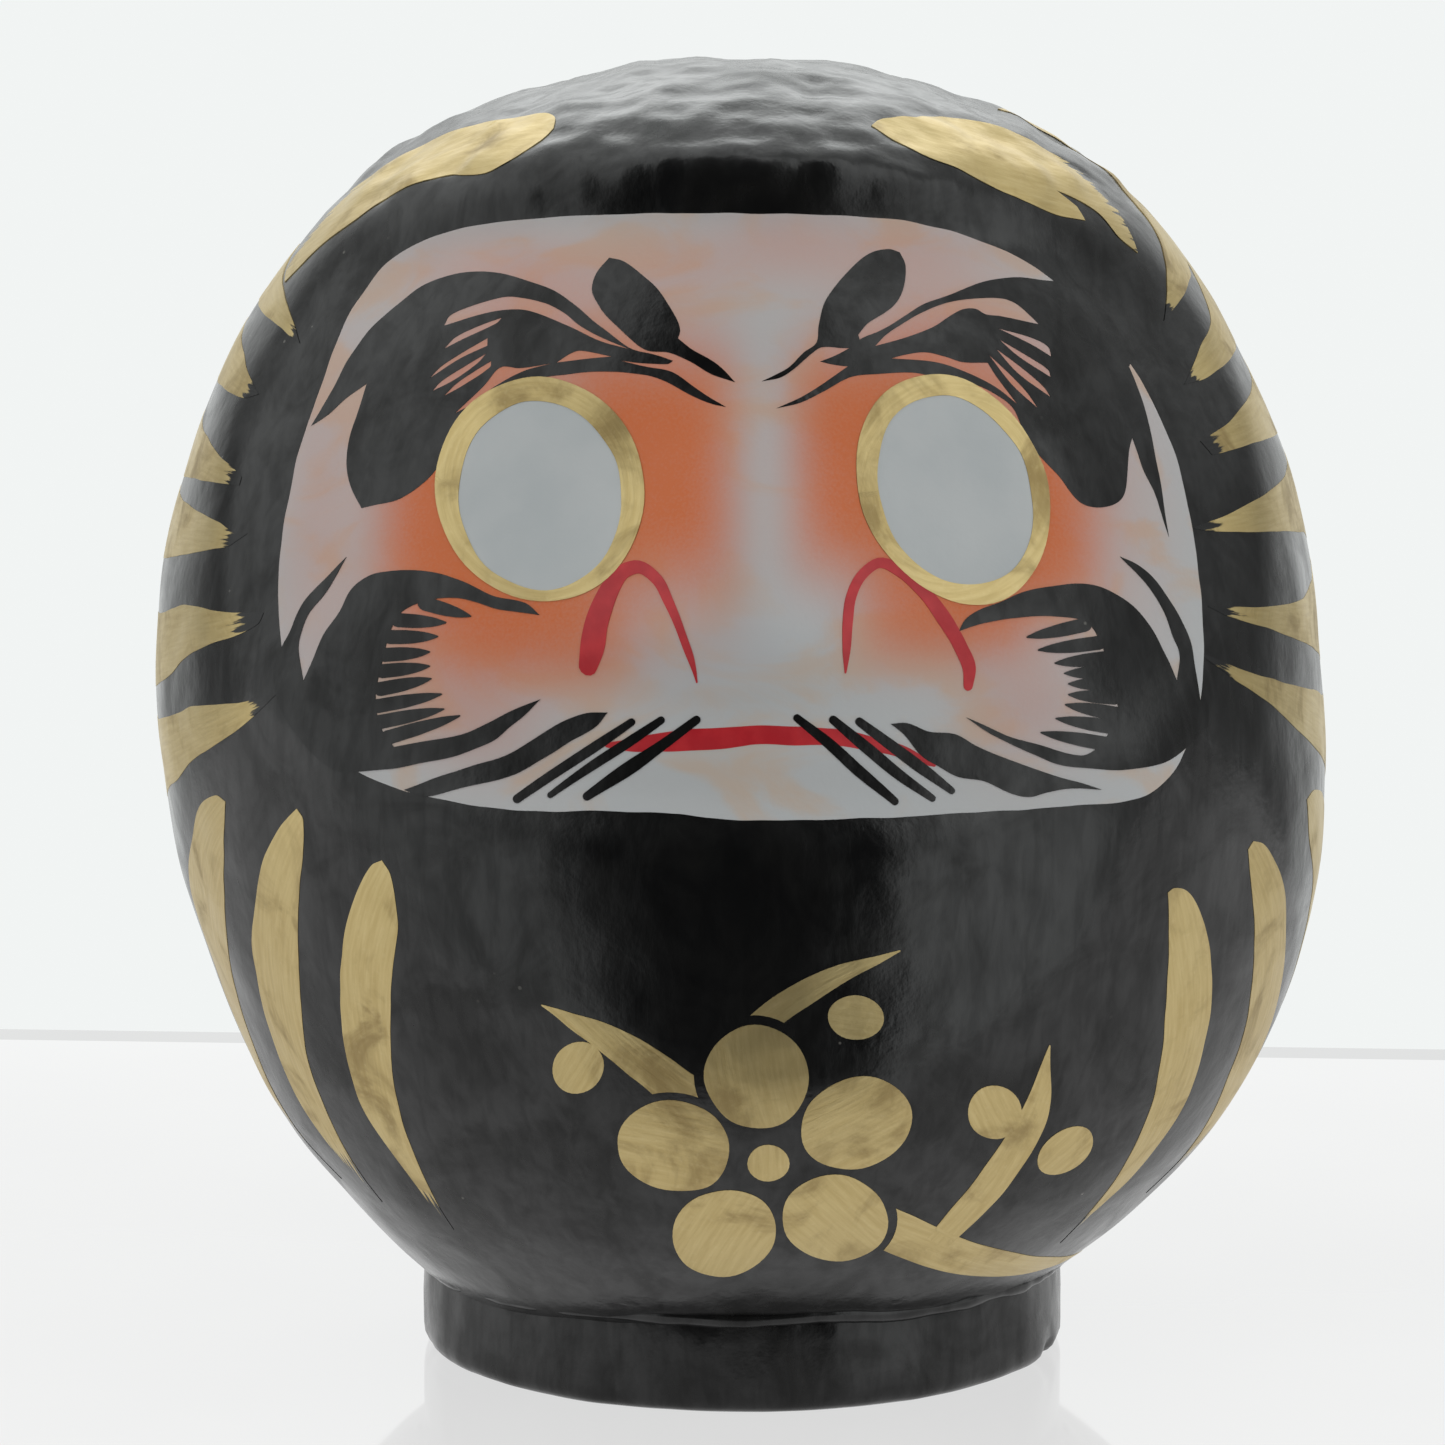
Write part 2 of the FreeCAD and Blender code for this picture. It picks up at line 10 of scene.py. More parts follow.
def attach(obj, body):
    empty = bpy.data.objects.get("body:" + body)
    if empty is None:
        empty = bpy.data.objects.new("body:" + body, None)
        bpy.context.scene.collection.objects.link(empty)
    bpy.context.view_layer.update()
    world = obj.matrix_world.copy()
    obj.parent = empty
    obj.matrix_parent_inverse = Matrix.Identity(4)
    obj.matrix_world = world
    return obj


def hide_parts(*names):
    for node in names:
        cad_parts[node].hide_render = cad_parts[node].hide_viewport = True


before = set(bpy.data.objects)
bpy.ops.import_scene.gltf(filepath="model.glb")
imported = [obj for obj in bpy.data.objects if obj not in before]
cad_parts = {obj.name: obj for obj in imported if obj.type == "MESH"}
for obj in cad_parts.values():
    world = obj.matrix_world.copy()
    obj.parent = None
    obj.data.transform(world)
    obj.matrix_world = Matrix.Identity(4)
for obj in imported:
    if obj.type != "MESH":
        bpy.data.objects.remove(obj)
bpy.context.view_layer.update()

# The looks of a papier-mache daruma doll. Outlines are in millimetres and everything built is in metres.
# Two charts carry flat outlines onto the body: FRONT takes (x, z) and looks along +Y, and ROUND takes
# (azimuth in degrees from the front towards +X, z) and looks at the body's axis.

MM = 0.001

# The body.
CENTRE_Z = 87.0  # the body is cast from its middle
UNDERSIDE_Z, UNDERSIDE_R = 3.6, 33.0
DEPTH_SHARE = 0.97
LEAN, LEAN_BELLY, LEAN_Z, LEAN_SPREAD = -0.8, 2.4, 48.0, 32.0  # the hand-made body isn't quite upright
SKIN_CELLS = 124  # cells along each edge of the cube that the body's skin is made from
SKIN_SMOOTHINGS, SMOOTHING_SHARE = 3, 0.6
NUDGES = (0, 1e-5, -1e-5, 1e-4, -1e-4)  # metres that a ray steps aside at a seam
JOINT_NEAR = 0.02  # how near to the plane of the joint a direction can point
ARC_PER_DEGREE = 1.3  # millimetres of skin to a degree, for the ROUND chart

# The foot ring, as (radius, z, rounding) at the corners of its section, and the chip in its lower rim.
RING_STEPS = 420
FOOT_SECTION = [(34.0, 0.0, 0.4), (43.2, 0.0, 2.9), (42.8, 12.4, 0.8), (34.0, 11.4, 0.4)]
FOOT_R = 43.0
CHIP_TURN, CHIP_WIDTH = 1.25, 0.045  # radians
CHIP_DEPTH, CHIP_RISE = 1.0, 0.5

# The bead in the corner between the body and the foot.
BEAD_R, BEAD_Z, BEAD_HALF, BEAD_SIDES = 43.3, 12.9, 1.45, 18
BEAD_THICKNESS = 0.85

# Hand-made unevenness, in layers of smooth noise: (size of a lump, its height, where its pattern starts).
HERE = (0, 0, 0)
BODY_DENTS = [(26.0, 0.55, HERE), (12.0, 0.24, (5, 1, 7)), (6.5, 0.07, (9, 4, 2)), (3.2, 0.02, (3, 8, 5))]
CROWN_DENTS = [(6.5, 0.55, (9, 4, 2)), (3.2, 0.30, (3, 8, 5))]
FOOT_LUMPS = [(15, 0.45, HERE), (6, 0.20, HERE), (2.6, 0.06, HERE)]
BEAD_LUMPS = [(7, 0.30, HERE), (2.8, 0.10, HERE)]
BEAD_WANDER = [(15, 0.70, (4, 0, 0)), (5, 0.15, HERE)]
FACE_CALM = 0.7  # the part of the dents that the face doesn't have

# Thickness of the layers of paint, and how far each stands off the lacquer.
PAINT = 0.14
GROUND_LIFT, LINE_LIFT, TOP_LIFT, RING_LIFT, GOLD_LIFT = 0.075, 0.115, 0.15, 0.17, 0.055
CROWN_GOLD_LIFT, CROWN_STROKES = 0.11, 2  # the first strokes of the hood cross the lumpy crown
FILM_STEP = 0.8  # between the points inside a film
START_ROUNDING = 3.5
BRUSH_SEED = 7
EYE_LAP = 0.3  # how far the white of an eye runs in under its gold ring

FRONT, ROUND = "front", "round"
CHART_SCALE = {FRONT: np.array([1.0, 1.0]), ROUND: np.array([ARC_PER_DEGREE, 1.0])}


# ---------------------------------------------------------------- outlines of the painting

GROUND = [
    (-39.3, 84.2), (-42.5, 84.7), (-48, 86.4), (-53, 90.3), (-56, 94.2), (-58, 100.2), (-58.6, 106),
    (-58.3, 113), (-56.6, 122.8), (-54.1, 130.7), (-50.5, 140.1), (-46.3, 146.2), (-42.8, 149),
    (-38, 151.2), (-31, 152.9), (-18, 154.1), (-0.6, 154.4), (16, 153.7), (25, 152.1), (33.6, 148.8),
    (39.1, 145.2), (45.1, 139.6), (49.2, 134.2), (52.4, 128.4), (54.5, 123.4), (56.1, 116.7),
    (57, 110.7), (57.5, 104.7), (57.7, 99.9), (57, 94), (56.2, 91), (54.9, 88), (53.4, 85.6),
    (50.4, 83.4), (47.5, 82.8), (41.3, 82.8), (31.2, 82.8), (15.2, 82.5), (-0.6, 82.5), (-8, 83.1),
    (-18, 83.3), (-25, 83), (-32.5, 83.3),
]
BROW_L = [
    (-54.8, 127.1), (-52.2, 131.5), (-50, 135.5), (-46.8, 139.6), (-42.3, 143.5), (-38.5, 145.7),
    (-33.9, 146.8), (-29.2, 146.5), (-24, 145), (-20.9, 143.2), (-18, 140.9), (-14.2, 138.4),
    (-11.5, 137.7), (-8.9, 136.9), (-9.5, 136.5), (-12.3, 136.6), (-15.4, 136.9), (-11.7, 136.1),
    (-9, 135.6), (-6.5, 134.1), (-4, 132.6), (-2.3, 131.6), (-4, 132), (-6.7, 133), (-9.8, 134.5),
    (-12.9, 135.3), (-17.9, 135.5), (-22.9, 135), (-26.6, 134.3), (-29.8, 133.2), (-32.3, 131.6),
    (-34.1, 129.7), (-36.2, 126.5), (-38.2, 123.3), (-39.7, 121.6), (-42.9, 119.4), (-46.1, 118.4),
    (-47.8, 117.9), (-49.1, 120), (-49.9, 122.9), (-49.6, 125.9), (-48.6, 128.9), (-47.4, 132.8),
    (-50.4, 130.5), (-52.6, 128.6),
]
BULB_L = [
    (-16.9, 148.9), (-14.9, 148.5), (-11.8, 146.3), (-9.9, 144.2), (-8.4, 141.9), (-8, 140.5),
    (-8.3, 139.6), (-6.5, 138.3), (-3.4, 136.6), (-1.2, 134.5), (-4, 135.4), (-6.8, 136.9),
    (-9.2, 137.8), (-12, 138.1), (-14.2, 139.5), (-17.1, 142), (-18.5, 144), (-18.9, 145.2),
    (-18.4, 147.1),
]
BROW_GAPS_L = [
    [(-37.6, 140.2), (-36.9, 141.4), (-34.4, 142.6), (-30.6, 143.8), (-28.8, 144), (-24.9, 143.4),
     (-22.4, 142.3), (-20.5, 140.9), (-17.9, 139.6), (-14.2, 138.2), (-17.9, 139.1), (-21.7, 140.7),
     (-26.8, 142.4), (-29.9, 142.4), (-33.1, 141.7)],
    [(-37.5, 137.5), (-36.1, 138.9), (-33.1, 140.4), (-30.2, 141.5), (-30.9, 140.8), (-35, 138.8)],
    [(-39.3, 133.9), (-37.8, 135.4), (-34.9, 137.3), (-32, 139), (-32, 138.1), (-35.5, 136.4)],
    [(-38.9, 132.4), (-37.8, 133.6), (-34.9, 135.5), (-32.1, 137.2), (-33.2, 136), (-36.1, 133.9)],
    [(-37.4, 131.9), (-35.9, 133.4), (-33.6, 135), (-31.5, 136.3), (-31.6, 135.6), (-34.8, 133.4)],
    [(-36, 129.9), (-34.5, 131.3), (-32.3, 133.4), (-30.3, 135.6), (-27.9, 135.6), (-23.8, 136.3),
     (-27.3, 135.3), (-31, 133.3), (-33.5, 131.3)],
    [(-23.3, 136.4), (-21.4, 137.6), (-20.2, 137.9), (-16.4, 137.3), (-19.2, 137)],
]
BROW_R = [
    (40.1, 145.7), (39.1, 145.2), (34.8, 145.9), (32.2, 145.9), (29.3, 145.5), (25.7, 144.3),
    (22.5, 143.3), (20, 142), (16.8, 140.3), (14.3, 139.4), (12.8, 138.3), (11.2, 137.5), (9.3, 136.8),
    (10.8, 136.5), (12.8, 136.2), (9.5, 134.1), (6.8, 132.6), (3.8, 131.4), (6.8, 132), (9.5, 133.2),
    (13.2, 134.9), (16.7, 135.2), (20.5, 135.2), (23.6, 134.6), (28.6, 133.5), (31.8, 131.9),
    (33.3, 130.6), (34.5, 128.1), (35.5, 126.1), (37.3, 124), (39.2, 122), (41.1, 119.5), (42.4, 118.5),
    (44.3, 118.1), (46.3, 118.4), (47.4, 119.3), (47.9, 121.1), (48.2, 124.6), (48.7, 126.1),
    (50.1, 122.3), (51.9, 118.3), (53.3, 113.7), (52.7, 118.3), (52, 122.5), (51.2, 126.7),
    (50.1, 130.6), (48.6, 134.5), (49.5, 135.6), (46.5, 140.3), (43.3, 143.9),
]
BULB_R = [
    (17.9, 149.9), (19.4, 149.5), (20.1, 148), (19.9, 145.5), (18.9, 143.7), (17.2, 142.4),
    (15.1, 141.1), (14, 139.9), (14.5, 138.6), (12.5, 138.4), (9.5, 138.5), (8.3, 137.8), (6.2, 136.1),
    (4.3, 135), (2.1, 134.6), (3.7, 135.3), (5.6, 136.3), (7.4, 138), (8.9, 139.1), (9.1, 141.1),
    (9.7, 143.4), (10.9, 145.1), (13.2, 147.7), (15.7, 149.4),
]
BROW_GAPS_R = [
    [(16.1, 138.5), (17.5, 139.8), (19.3, 140.9), (21.8, 142.2), (25, 143.3), (28.2, 143.7),
     (32.1, 143.6), (34, 142.9), (35.9, 141.3), (36.9, 140.3), (32, 141.5), (30.1, 141.8),
     (28.8, 142.5), (27.2, 142.5), (25.6, 141.8), (23.5, 140.6), (19.9, 139.4)],
    [(31.6, 140.1), (35.8, 138.8), (38, 137.6), (38.4, 136.4), (35.8, 138)],
    [(31.7, 138.8), (35.7, 136.4), (38, 134.8), (38.2, 134), (34.1, 136.7)],
    [(31.3, 137.7), (34.4, 135.4), (37.2, 133), (38.2, 131.6), (34, 134.7)],
    [(30.3, 137.1), (33.1, 134.5), (35.1, 132.4), (36.5, 130.4), (33.3, 133.3)],
    [(18.1, 137), (19.9, 137.4), (22.4, 137.6), (24.9, 137), (27, 136.3), (30.2, 136.1),
     (31.3, 134.4), (33.9, 131), (31.1, 133.2), (27.4, 135.1), (23.6, 136.4)],
]
MOUSTACHE_L = [
    (-25.2, 106.5), (-27, 107.9), (-31.3, 108.7), (-35.1, 110.2), (-38.9, 111), (-42.1, 111),
    (-44.6, 110.6), (-46.8, 109.8), (-48.8, 108.1), (-50.4, 105.3), (-52.4, 102.3), (-53.9, 99.1),
    (-55, 96.5), (-55.8, 100.2), (-55.3, 102.8), (-54.3, 104.8), (-52.1, 107.7), (-49.6, 111.9),
    (-51.8, 109.7), (-54.7, 106.6), (-56.1, 104.3), (-57, 102.2), (-58.1, 100), (-59, 97.2),
    (-58, 92.8), (-54.8, 88.9), (-50.9, 86.2), (-47.9, 86.3), (-42.5, 87.3), (-36.3, 88.9),
    (-33.1, 90.1), (-30.7, 91.3), (-28.8, 93), (-26.9, 94.5), (-25, 96.4), (-28.8, 94.8),
    (-31.3, 93.4), (-34.4, 91.9), (-38.8, 90.7), (-43.3, 89.7), (-44.9, 91.8), (-45.6, 95.1),
    (-45.4, 97.6), (-44.6, 100.7), (-43.9, 103.5), (-42.4, 106), (-39.2, 107.6), (-35.7, 108.1),
    (-33.2, 107.7), (-30.1, 107),
]
MOUSTACHE_R = [
    (26.2, 104.5), (27, 105.8), (28.9, 106.9), (31.4, 107.7), (34.5, 108.8), (38.3, 109.3),
    (42.2, 109.2), (45, 108.3), (48, 106.3), (50.6, 103.2), (52.5, 99.7), (54, 96.5), (54.4, 99.6),
    (53.5, 102), (52.4, 104.9), (50.7, 107.7), (49, 109.8), (46.8, 112.1), (48.8, 111.1),
    (50.7, 109.5), (52.7, 106.9), (54.4, 104.3), (55.9, 101.2), (56.4, 98.2), (56.9, 94),
    (58.2, 93.8), (57.9, 90.8), (55.9, 89), (54.3, 87.8), (52.3, 87), (49, 86.6), (43.9, 86.9),
    (38.8, 87.8), (35.7, 89.1), (31.9, 91), (29.4, 92.4), (27.1, 94.1), (29.4, 93), (32.6, 91.5),
    (36.3, 90.3), (41.4, 88.7), (43.5, 89.5), (44.9, 90.9), (46.1, 93.6), (45.9, 96.2), (44.9, 99.7),
    (43.8, 102.7), (42.1, 104.7), (39.3, 105.5), (33.2, 105.8), (29.5, 105.3),
]
# The teeth of the moustache, each from its root to its tip.
TEETH_L = [
    ((-39.5, 107.2), (-33.7, 106.0)), ((-42.9, 105.0), (-36.8, 105.1)), ((-43.9, 102.9), (-37.8, 103.4)),
    ((-44.6, 100.7), (-38.8, 101.5)), ((-44.9, 98.7), (-38.8, 99.8)), ((-45.1, 96.5), (-38.6, 98.3)),
    ((-45.4, 94.4), (-37.3, 96.5)), ((-45.1, 92.5), (-37.0, 94.7)), ((-44.1, 90.7), (-35.0, 94.0)),
]
TEETH_R = [
    ((42.1, 104.4), (34.7, 103.4)), ((43.9, 102.1), (36.1, 101.8)), ((44.8, 100.2), (38.2, 100.1)),
    ((45.3, 98.5), (39.4, 98.8)), ((45.7, 97.0), (39.9, 97.5)), ((45.9, 95.3), (39.9, 96.2)),
    ((46.1, 93.3), (39.5, 95.0)), ((45.9, 91.7), (38.3, 93.4)), ((44.9, 89.8), (36.4, 91.8)),
]
SWEEP_L = [
    (-16.7, 95.1), (-19.2, 95), (-21.8, 94.1), (-24.5, 92.5), (-27.6, 90.4), (-30, 89.1),
    (-33.8, 87.8), (-37.5, 86.5), (-41.9, 84.7), (-39.3, 84.1), (-33.7, 85.6), (-30, 86.6),
    (-27.6, 87.5), (-24.5, 89.3), (-21.4, 91.5), (-18.1, 93.4),
]
SWEEP_R = [
    (17.8, 93.7), (19.8, 93.7), (22.6, 92.6), (25.7, 92.1), (28.2, 90.7), (31.3, 89.1), (35.1, 87.6),
    (38.8, 86.3), (44, 84.5), (40, 84.8), (36.9, 84.6), (35, 84.3), (32.5, 84.8), (29.4, 86.2),
    (26.3, 86.9), (23.9, 88.2), (21.6, 89.8), (19.5, 92.3),
]
# The width of a tooth, as (share of the way to its tip, half width).
TOOTH = [(0.0, 0.85), (0.5, 0.75), (0.85, 0.4), (1.0, 0.1)]
# Short strokes beside the mouth, as (x, z, half width) along their middles.
DIAGONALS_L = [
    [(-13.8, 94.1, 0.45), (-17.7, 91.4, 0.6), (-22.6, 88.0, 0.6), (-27.9, 84.3, 0.5)],
    [(-10.2, 94.4, 0.45), (-14, 91.8, 0.6), (-17.7, 89.3, 0.6), (-23.8, 84.9, 0.35)],
    [(-5.9, 94.5, 0.5), (-10.4, 91.2, 0.65), (-14, 88.6, 0.85), (-19.3, 84.9, 0.5)],
]
DIAGONALS_R = [
    [(6.3, 94.7, 0.45), (10.3, 91.5, 0.65), (14, 88.0, 0.7), (18.3, 84.3, 0.45)],
    [(10.7, 94.4, 0.5), (15.2, 90.6, 0.7), (18.9, 87.4, 0.65), (22.9, 84.5, 0.4)],
    [(13.9, 94.1, 0.5), (17.7, 91.2, 0.65), (21.4, 88.3, 0.7), (25.3, 85.3, 0.4)],
]
NOSE_L = [
    (-19.2, 100.8, 1.2), (-18.7, 102.7, 1.5), (-18.0, 106.3, 1.4), (-16.5, 109.9, 1.1),
    (-14.7, 112.2, 0.85), (-12.8, 112.8, 0.75), (-10.8, 111.6, 0.7), (-9.4, 109.2, 0.6),
    (-7.9, 106, 0.5), (-6.7, 102.7, 0.45), (-5.9, 99, 0.1),
]
NOSE_R = [
    (12.2, 100.1, 0.1), (12.3, 103, 0.5), (12.5, 106.5, 0.65), (12.9, 109.1, 0.65),
    (14.2, 111.6, 0.65), (16.3, 113, 0.6), (19, 111.9, 0.7), (22.1, 109.1, 0.8), (24.5, 105.8, 0.9),
    (26.4, 102.6, 0.8), (27.5, 99.8, 0.8), (27.3, 97.9, 0.6),
]
MOUTH = [
    (-16.8, 91.2, 0.3), (-12.8, 91.5, 0.9), (-7.9, 92, 1.25), (-3.1, 92.3, 1.25), (1.8, 92.7, 1.1),
    (6.7, 92.6, 1.1), (11.6, 92.3, 1.0), (16.5, 91.1, 0.85), (20.2, 89.9, 0.7), (23.2, 88.5, 0.2),
]
# Each eye's white and the outside of its ring, as (x, z, half width, half height, tilt), and how unsteadily
# they are drawn, as (amount, size of a wave).
EYE_WOBBLE, RING_WOBBLE = (0.35, 6.0), (0.3, 7.0)
EYES = {
    "left": ((-25.3, 120.6, 10.2, 11.1, 0), (-25.25, 121.4, 13.05, 13.2, 0)),
    "right": ((25.9, 121.0, 9.2, 11.8, -28), (25.7, 121.3, 11.1, 14.6, -31)),
}

# Gold strokes, as (azimuth, z) outlines.
HOOD_L = [
    [(-41, 165.3), (-45.6, 165.8), (-51, 165.5), (-62.6, 164.2), (-74, 161.6), (-80, 157.8),
     (-84, 153.8), (-85.5, 150.1), (-84, 147), (-76.5, 143.6), (-74, 146), (-71.1, 148.9),
     (-66.8, 151.8), (-63.1, 154.6), (-58.4, 156.6), (-52.9, 158.1), (-48.8, 158.3), (-45.2, 158.5),
     (-42.4, 159), (-40.2, 160), (-38.6, 161.4), (-37.7, 162.9), (-38.2, 164.3)],
    [(-96, 147.5), (-84, 145.4), (-76, 143), (-70.6, 141.1), (-67.3, 139.4), (-63.8, 136.8),
     (-66.1, 137.4), (-69.4, 138.4), (-73.3, 139), (-84, 140.2), (-95, 141)],
    [(-96, 138.5), (-84, 136.6), (-76.9, 134.8), (-72.9, 133.3), (-69.6, 131.9), (-66.3, 130.2),
     (-68.8, 129.5), (-72.5, 129.7), (-78.2, 130), (-86, 130.2), (-95, 130.4)],
    [(-95, 126.3), (-82, 124.6), (-73.9, 123.6), (-68.6, 122.2), (-64.8, 121.3), (-62.3, 120.2),
     (-62.1, 119.1), (-65.4, 119), (-71, 118.7), (-77.2, 118.3), (-84, 117.6), (-94, 117)],
    [(-95, 116), (-80, 115.4), (-69.6, 114.9), (-63.6, 114.3), (-61, 113.6), (-58.3, 113.5),
     (-59.6, 112.4), (-60.6, 111.6), (-63.2, 111), (-68.2, 109.8), (-78, 107.8), (-95, 105.8)],
    [(-95, 99.2), (-80, 100.2), (-72.1, 102.1), (-68.6, 103.1), (-64.3, 103.4), (-59.5, 103.5),
     (-53.3, 104.1), (-53.7, 102.6), (-56.2, 101), (-59.9, 99.6), (-64.5, 97.7), (-68.7, 95.9),
     (-72.3, 93.4), (-79, 91), (-95, 88)],
    [(-94, 85.6), (-79, 86.4), (-69.3, 89.1), (-65.5, 90.4), (-59.4, 91.7), (-54.5, 92.7),
     (-48.5, 95.1), (-50.8, 92.9), (-53.7, 90.3), (-57.5, 87.8), (-62, 85.4), (-66.4, 83.1),
     (-71.5, 79.8), (-80, 76.6), (-94, 73.4)],
]
HOOD_R = [
    [(27.3, 164.7), (33.2, 165.5), (40.5, 165.5), (52.3, 165.1), (60, 163.9), (65.6, 161.2),
     (69.6, 158.6), (71.3, 156.6), (69.4, 154.4), (66.8, 151.6), (65.1, 148), (62.6, 150.2),
     (61.7, 152.6), (60.3, 154), (58.6, 155.1), (55.1, 156.2), (57.4, 154.2), (57.3, 152.4),
     (52.6, 153.3), (45.6, 155.9), (41, 157.9), (37, 159.7), (32.4, 161.4), (29.5, 163.1)],
    [(95, 164.5), (93, 160), (91, 154), (89, 149), (86, 146.3), (80, 144.6), (73.9, 143.3), (67.1, 141.1),
     (63.8, 139.6), (67.9, 143.7), (71.9, 146.8), (77.8, 150.6), (82, 154.5), (86, 159.5), (90, 165.5)],
    [(95, 149), (87, 146.4), (80, 142.4), (75.1, 139), (68.8, 136.4), (61.6, 131.8), (65.3, 132.2),
     (69.4, 133.2), (76.9, 134.4), (85.9, 135.6), (95, 136.4)],
    [(94, 133), (84, 131.4), (74.8, 129.3), (69.6, 128.1), (64.7, 126.4), (59.8, 124.9),
     (60.6, 123.1), (63.5, 123.3), (69.3, 123.8), (83.9, 123.3), (94, 122.6)],
    [(94, 121.4), (84.3, 119.3), (72.2, 118), (66.4, 117.3), (61.6, 116.3), (58.2, 115.4),
     (54, 114.5), (56.3, 113.9), (60.4, 113.5), (69.4, 112.4), (83.8, 110.2), (94, 108.4)],
    [(95, 106.4), (83.3, 104.4), (74, 103.3), (66.4, 103.4), (58.3, 104.2), (52.8, 105), (55.5, 103.3),
     (61.7, 101.1), (69.7, 98.4), (82.8, 94.2), (95, 91.6)],
    [(95, 88), (82.5, 88.9), (75.8, 90.8), (68.3, 92.6), (60.6, 94.9), (54.8, 97.1), (49.2, 100),
     (51.2, 98), (54.6, 95.4), (61.3, 91.2), (67.6, 87.1), (74.8, 83.2), (83, 79), (95, 75)],
]
BELLY_L = [
    [(-65.1, 77.7), (-60.8, 79.7), (-58.7, 79.3), (-60.6, 72.7), (-62.4, 68.4), (-65.2, 61.2),
     (-69.2, 52.1), (-71.4, 43.4), (-72, 37.5), (-70.2, 32.4), (-64.1, 27.2), (-74, 32.2),
     (-77.8, 40.7), (-79.4, 48.7), (-79.6, 56.7), (-75.5, 66), (-69.6, 72.4)],
    [(-46.4, 80.5), (-45.6, 79.2), (-46.5, 73.9), (-48.5, 67.1), (-50.7, 58.7), (-52.7, 51.6),
     (-54.7, 44.4), (-55.2, 38.7), (-55.2, 33.1), (-54.4, 25.9), (-58, 31), (-61, 37.5),
     (-61.6, 44.3), (-60.9, 51.3), (-59.7, 56.9), (-58.8, 61.2), (-55.9, 67), (-52.8, 72.8),
     (-49.3, 77.6)],
    [(-35.8, 75.5), (-35, 73.7), (-35, 69.8), (-35.3, 66.5), (-36.9, 61.1), (-38.9, 54.1),
     (-40.5, 47.8), (-41.3, 41.4), (-41.5, 35.7), (-41.4, 24.1), (-43.4, 29.7), (-45.4, 35.1),
     (-47, 39.7), (-47.3, 44.5), (-46.9, 49.4), (-45.3, 55.7), (-43.4, 61.4), (-41.5, 66.9),
     (-39.3, 71.1), (-37.1, 74.7)],
]
BELLY_R = [
    [(43.2, 70.2), (44.1, 70.7), (45.8, 70.1), (47.6, 67.9), (49.4, 64.3), (51.2, 58.6),
     (52.3, 53.7), (53, 48.9), (54, 43.2), (54.4, 38.9), (53.8, 34), (52.5, 29.3), (51, 26.4),
     (49.8, 20.5), (49.2, 26.3), (48.8, 30.7), (48.4, 34.4), (47.6, 40.2), (46.4, 46), (45, 53.1),
     (44.4, 58.6), (43.8, 65.2)],
    [(55.9, 73.6), (56.8, 74.5), (59.1, 73.6), (61.9, 70.5), (64.4, 66.7), (67.1, 60.8),
     (70.3, 54.7), (73.2, 48.3), (74.6, 42.3), (74.2, 37.7), (72.6, 33), (70, 28.7), (66, 24.6),
     (66.8, 30.3), (65.4, 36.4), (63.4, 42.5), (62.3, 48.3), (60.7, 54.1), (59.3, 59.7),
     (57.5, 66.7)],
    [(69.9, 77.4), (72.7, 78.1), (79, 76.4), (86, 71.1), (89, 63), (89, 54), (87, 45), (83, 36),
     (78, 30), (80, 38), (81, 46), (80, 55), (77.1, 64), (71.9, 71.7)],
]

# The plum blossom on the belly, with branches behind it as (x, z, half width) along their middles, and buds
# as (x, z, half width, half height, tilt).
BLOSSOM = (3.0, 38.0)
PETALS, PETAL_DISTANCE, PETAL_R, PETAL_STRETCH = 5, 12.0, 6.4, 1.1
FIRST_PETAL_TURN = -8.0
PETAL_GAP, PETAL_WOBBLE = 1.2, (0.4, 7.0)
HEART_R, HEART_CLEARING = 2.6, 9.0
BRANCHES = [
    [(45, 15, 0.1), (37, 17.5, 1.8), (27, 22, 2.9), (16, 29, 3.1), (4, 38, 3.0), (-8, 48, 2.7),
     (-16, 54, 2.1), (-25, 58.5, 0.1)],
    [(24, 24, 1.6), (31, 33, 2.2), (36, 42, 1.9), (38, 52, 0.1)],
    [(-6, 47, 1.5), (2, 57, 1.7), (10, 62.5, 1.4), (19, 66, 0.1)],
]
BUDS = [
    (31.2, 43.5, 3.3, 4.0, -25), (40.6, 36.6, 3.2, 3.9, 50), (-20.6, 50.4, 3.1, 3.7, -150),
    (13.6, 57.6, 2.9, 3.5, 100),
]


# ---------------------------------------------------------------- body


def smoothstep(low, high, value):
    """A soft step from 0 at low to 1 at high."""
    share = np.clip((value - low) / (high - low), 0.0, 1.0)
    return share * share * (3 - 2 * share)


def lean(z):
    """How far the body leans towards +X at a height, in millimetres: mostly at the belly."""
    return LEAN + LEAN_BELLY * math.exp(-(((z - LEAN_Z) / LEAN_SPREAD) ** 2))


def cube_ball(cells):
    """Directions spread evenly over a ball, and quads between them."""
    index, directions, quads = {}, [], []
    steps = [math.tan((i / cells * 2 - 1) * math.pi / 4) for i in range(cells + 1)]
    for axis in range(3):
        for sign in (-1, 1):
            rows = []
            for a in steps:
                row = []
                for b in steps:
                    point = [0.0, 0.0, 0.0]
                    point[axis], point[(axis + 1) % 3], point[(axis + 2) % 3] = sign, a * sign, b
                    key = tuple(round(value, 6) for value in point)
                    if key not in index:
                        index[key] = len(directions)
                        directions.append(Vector(point).normalized())
                    row.append(index[key])
                rows.append(row)
            for i in range(cells):
                for j in range(cells):
                    quads.append((rows[i][j], rows[i + 1][j], rows[i + 1][j + 1], rows[i][j + 1]))
    return directions, quads


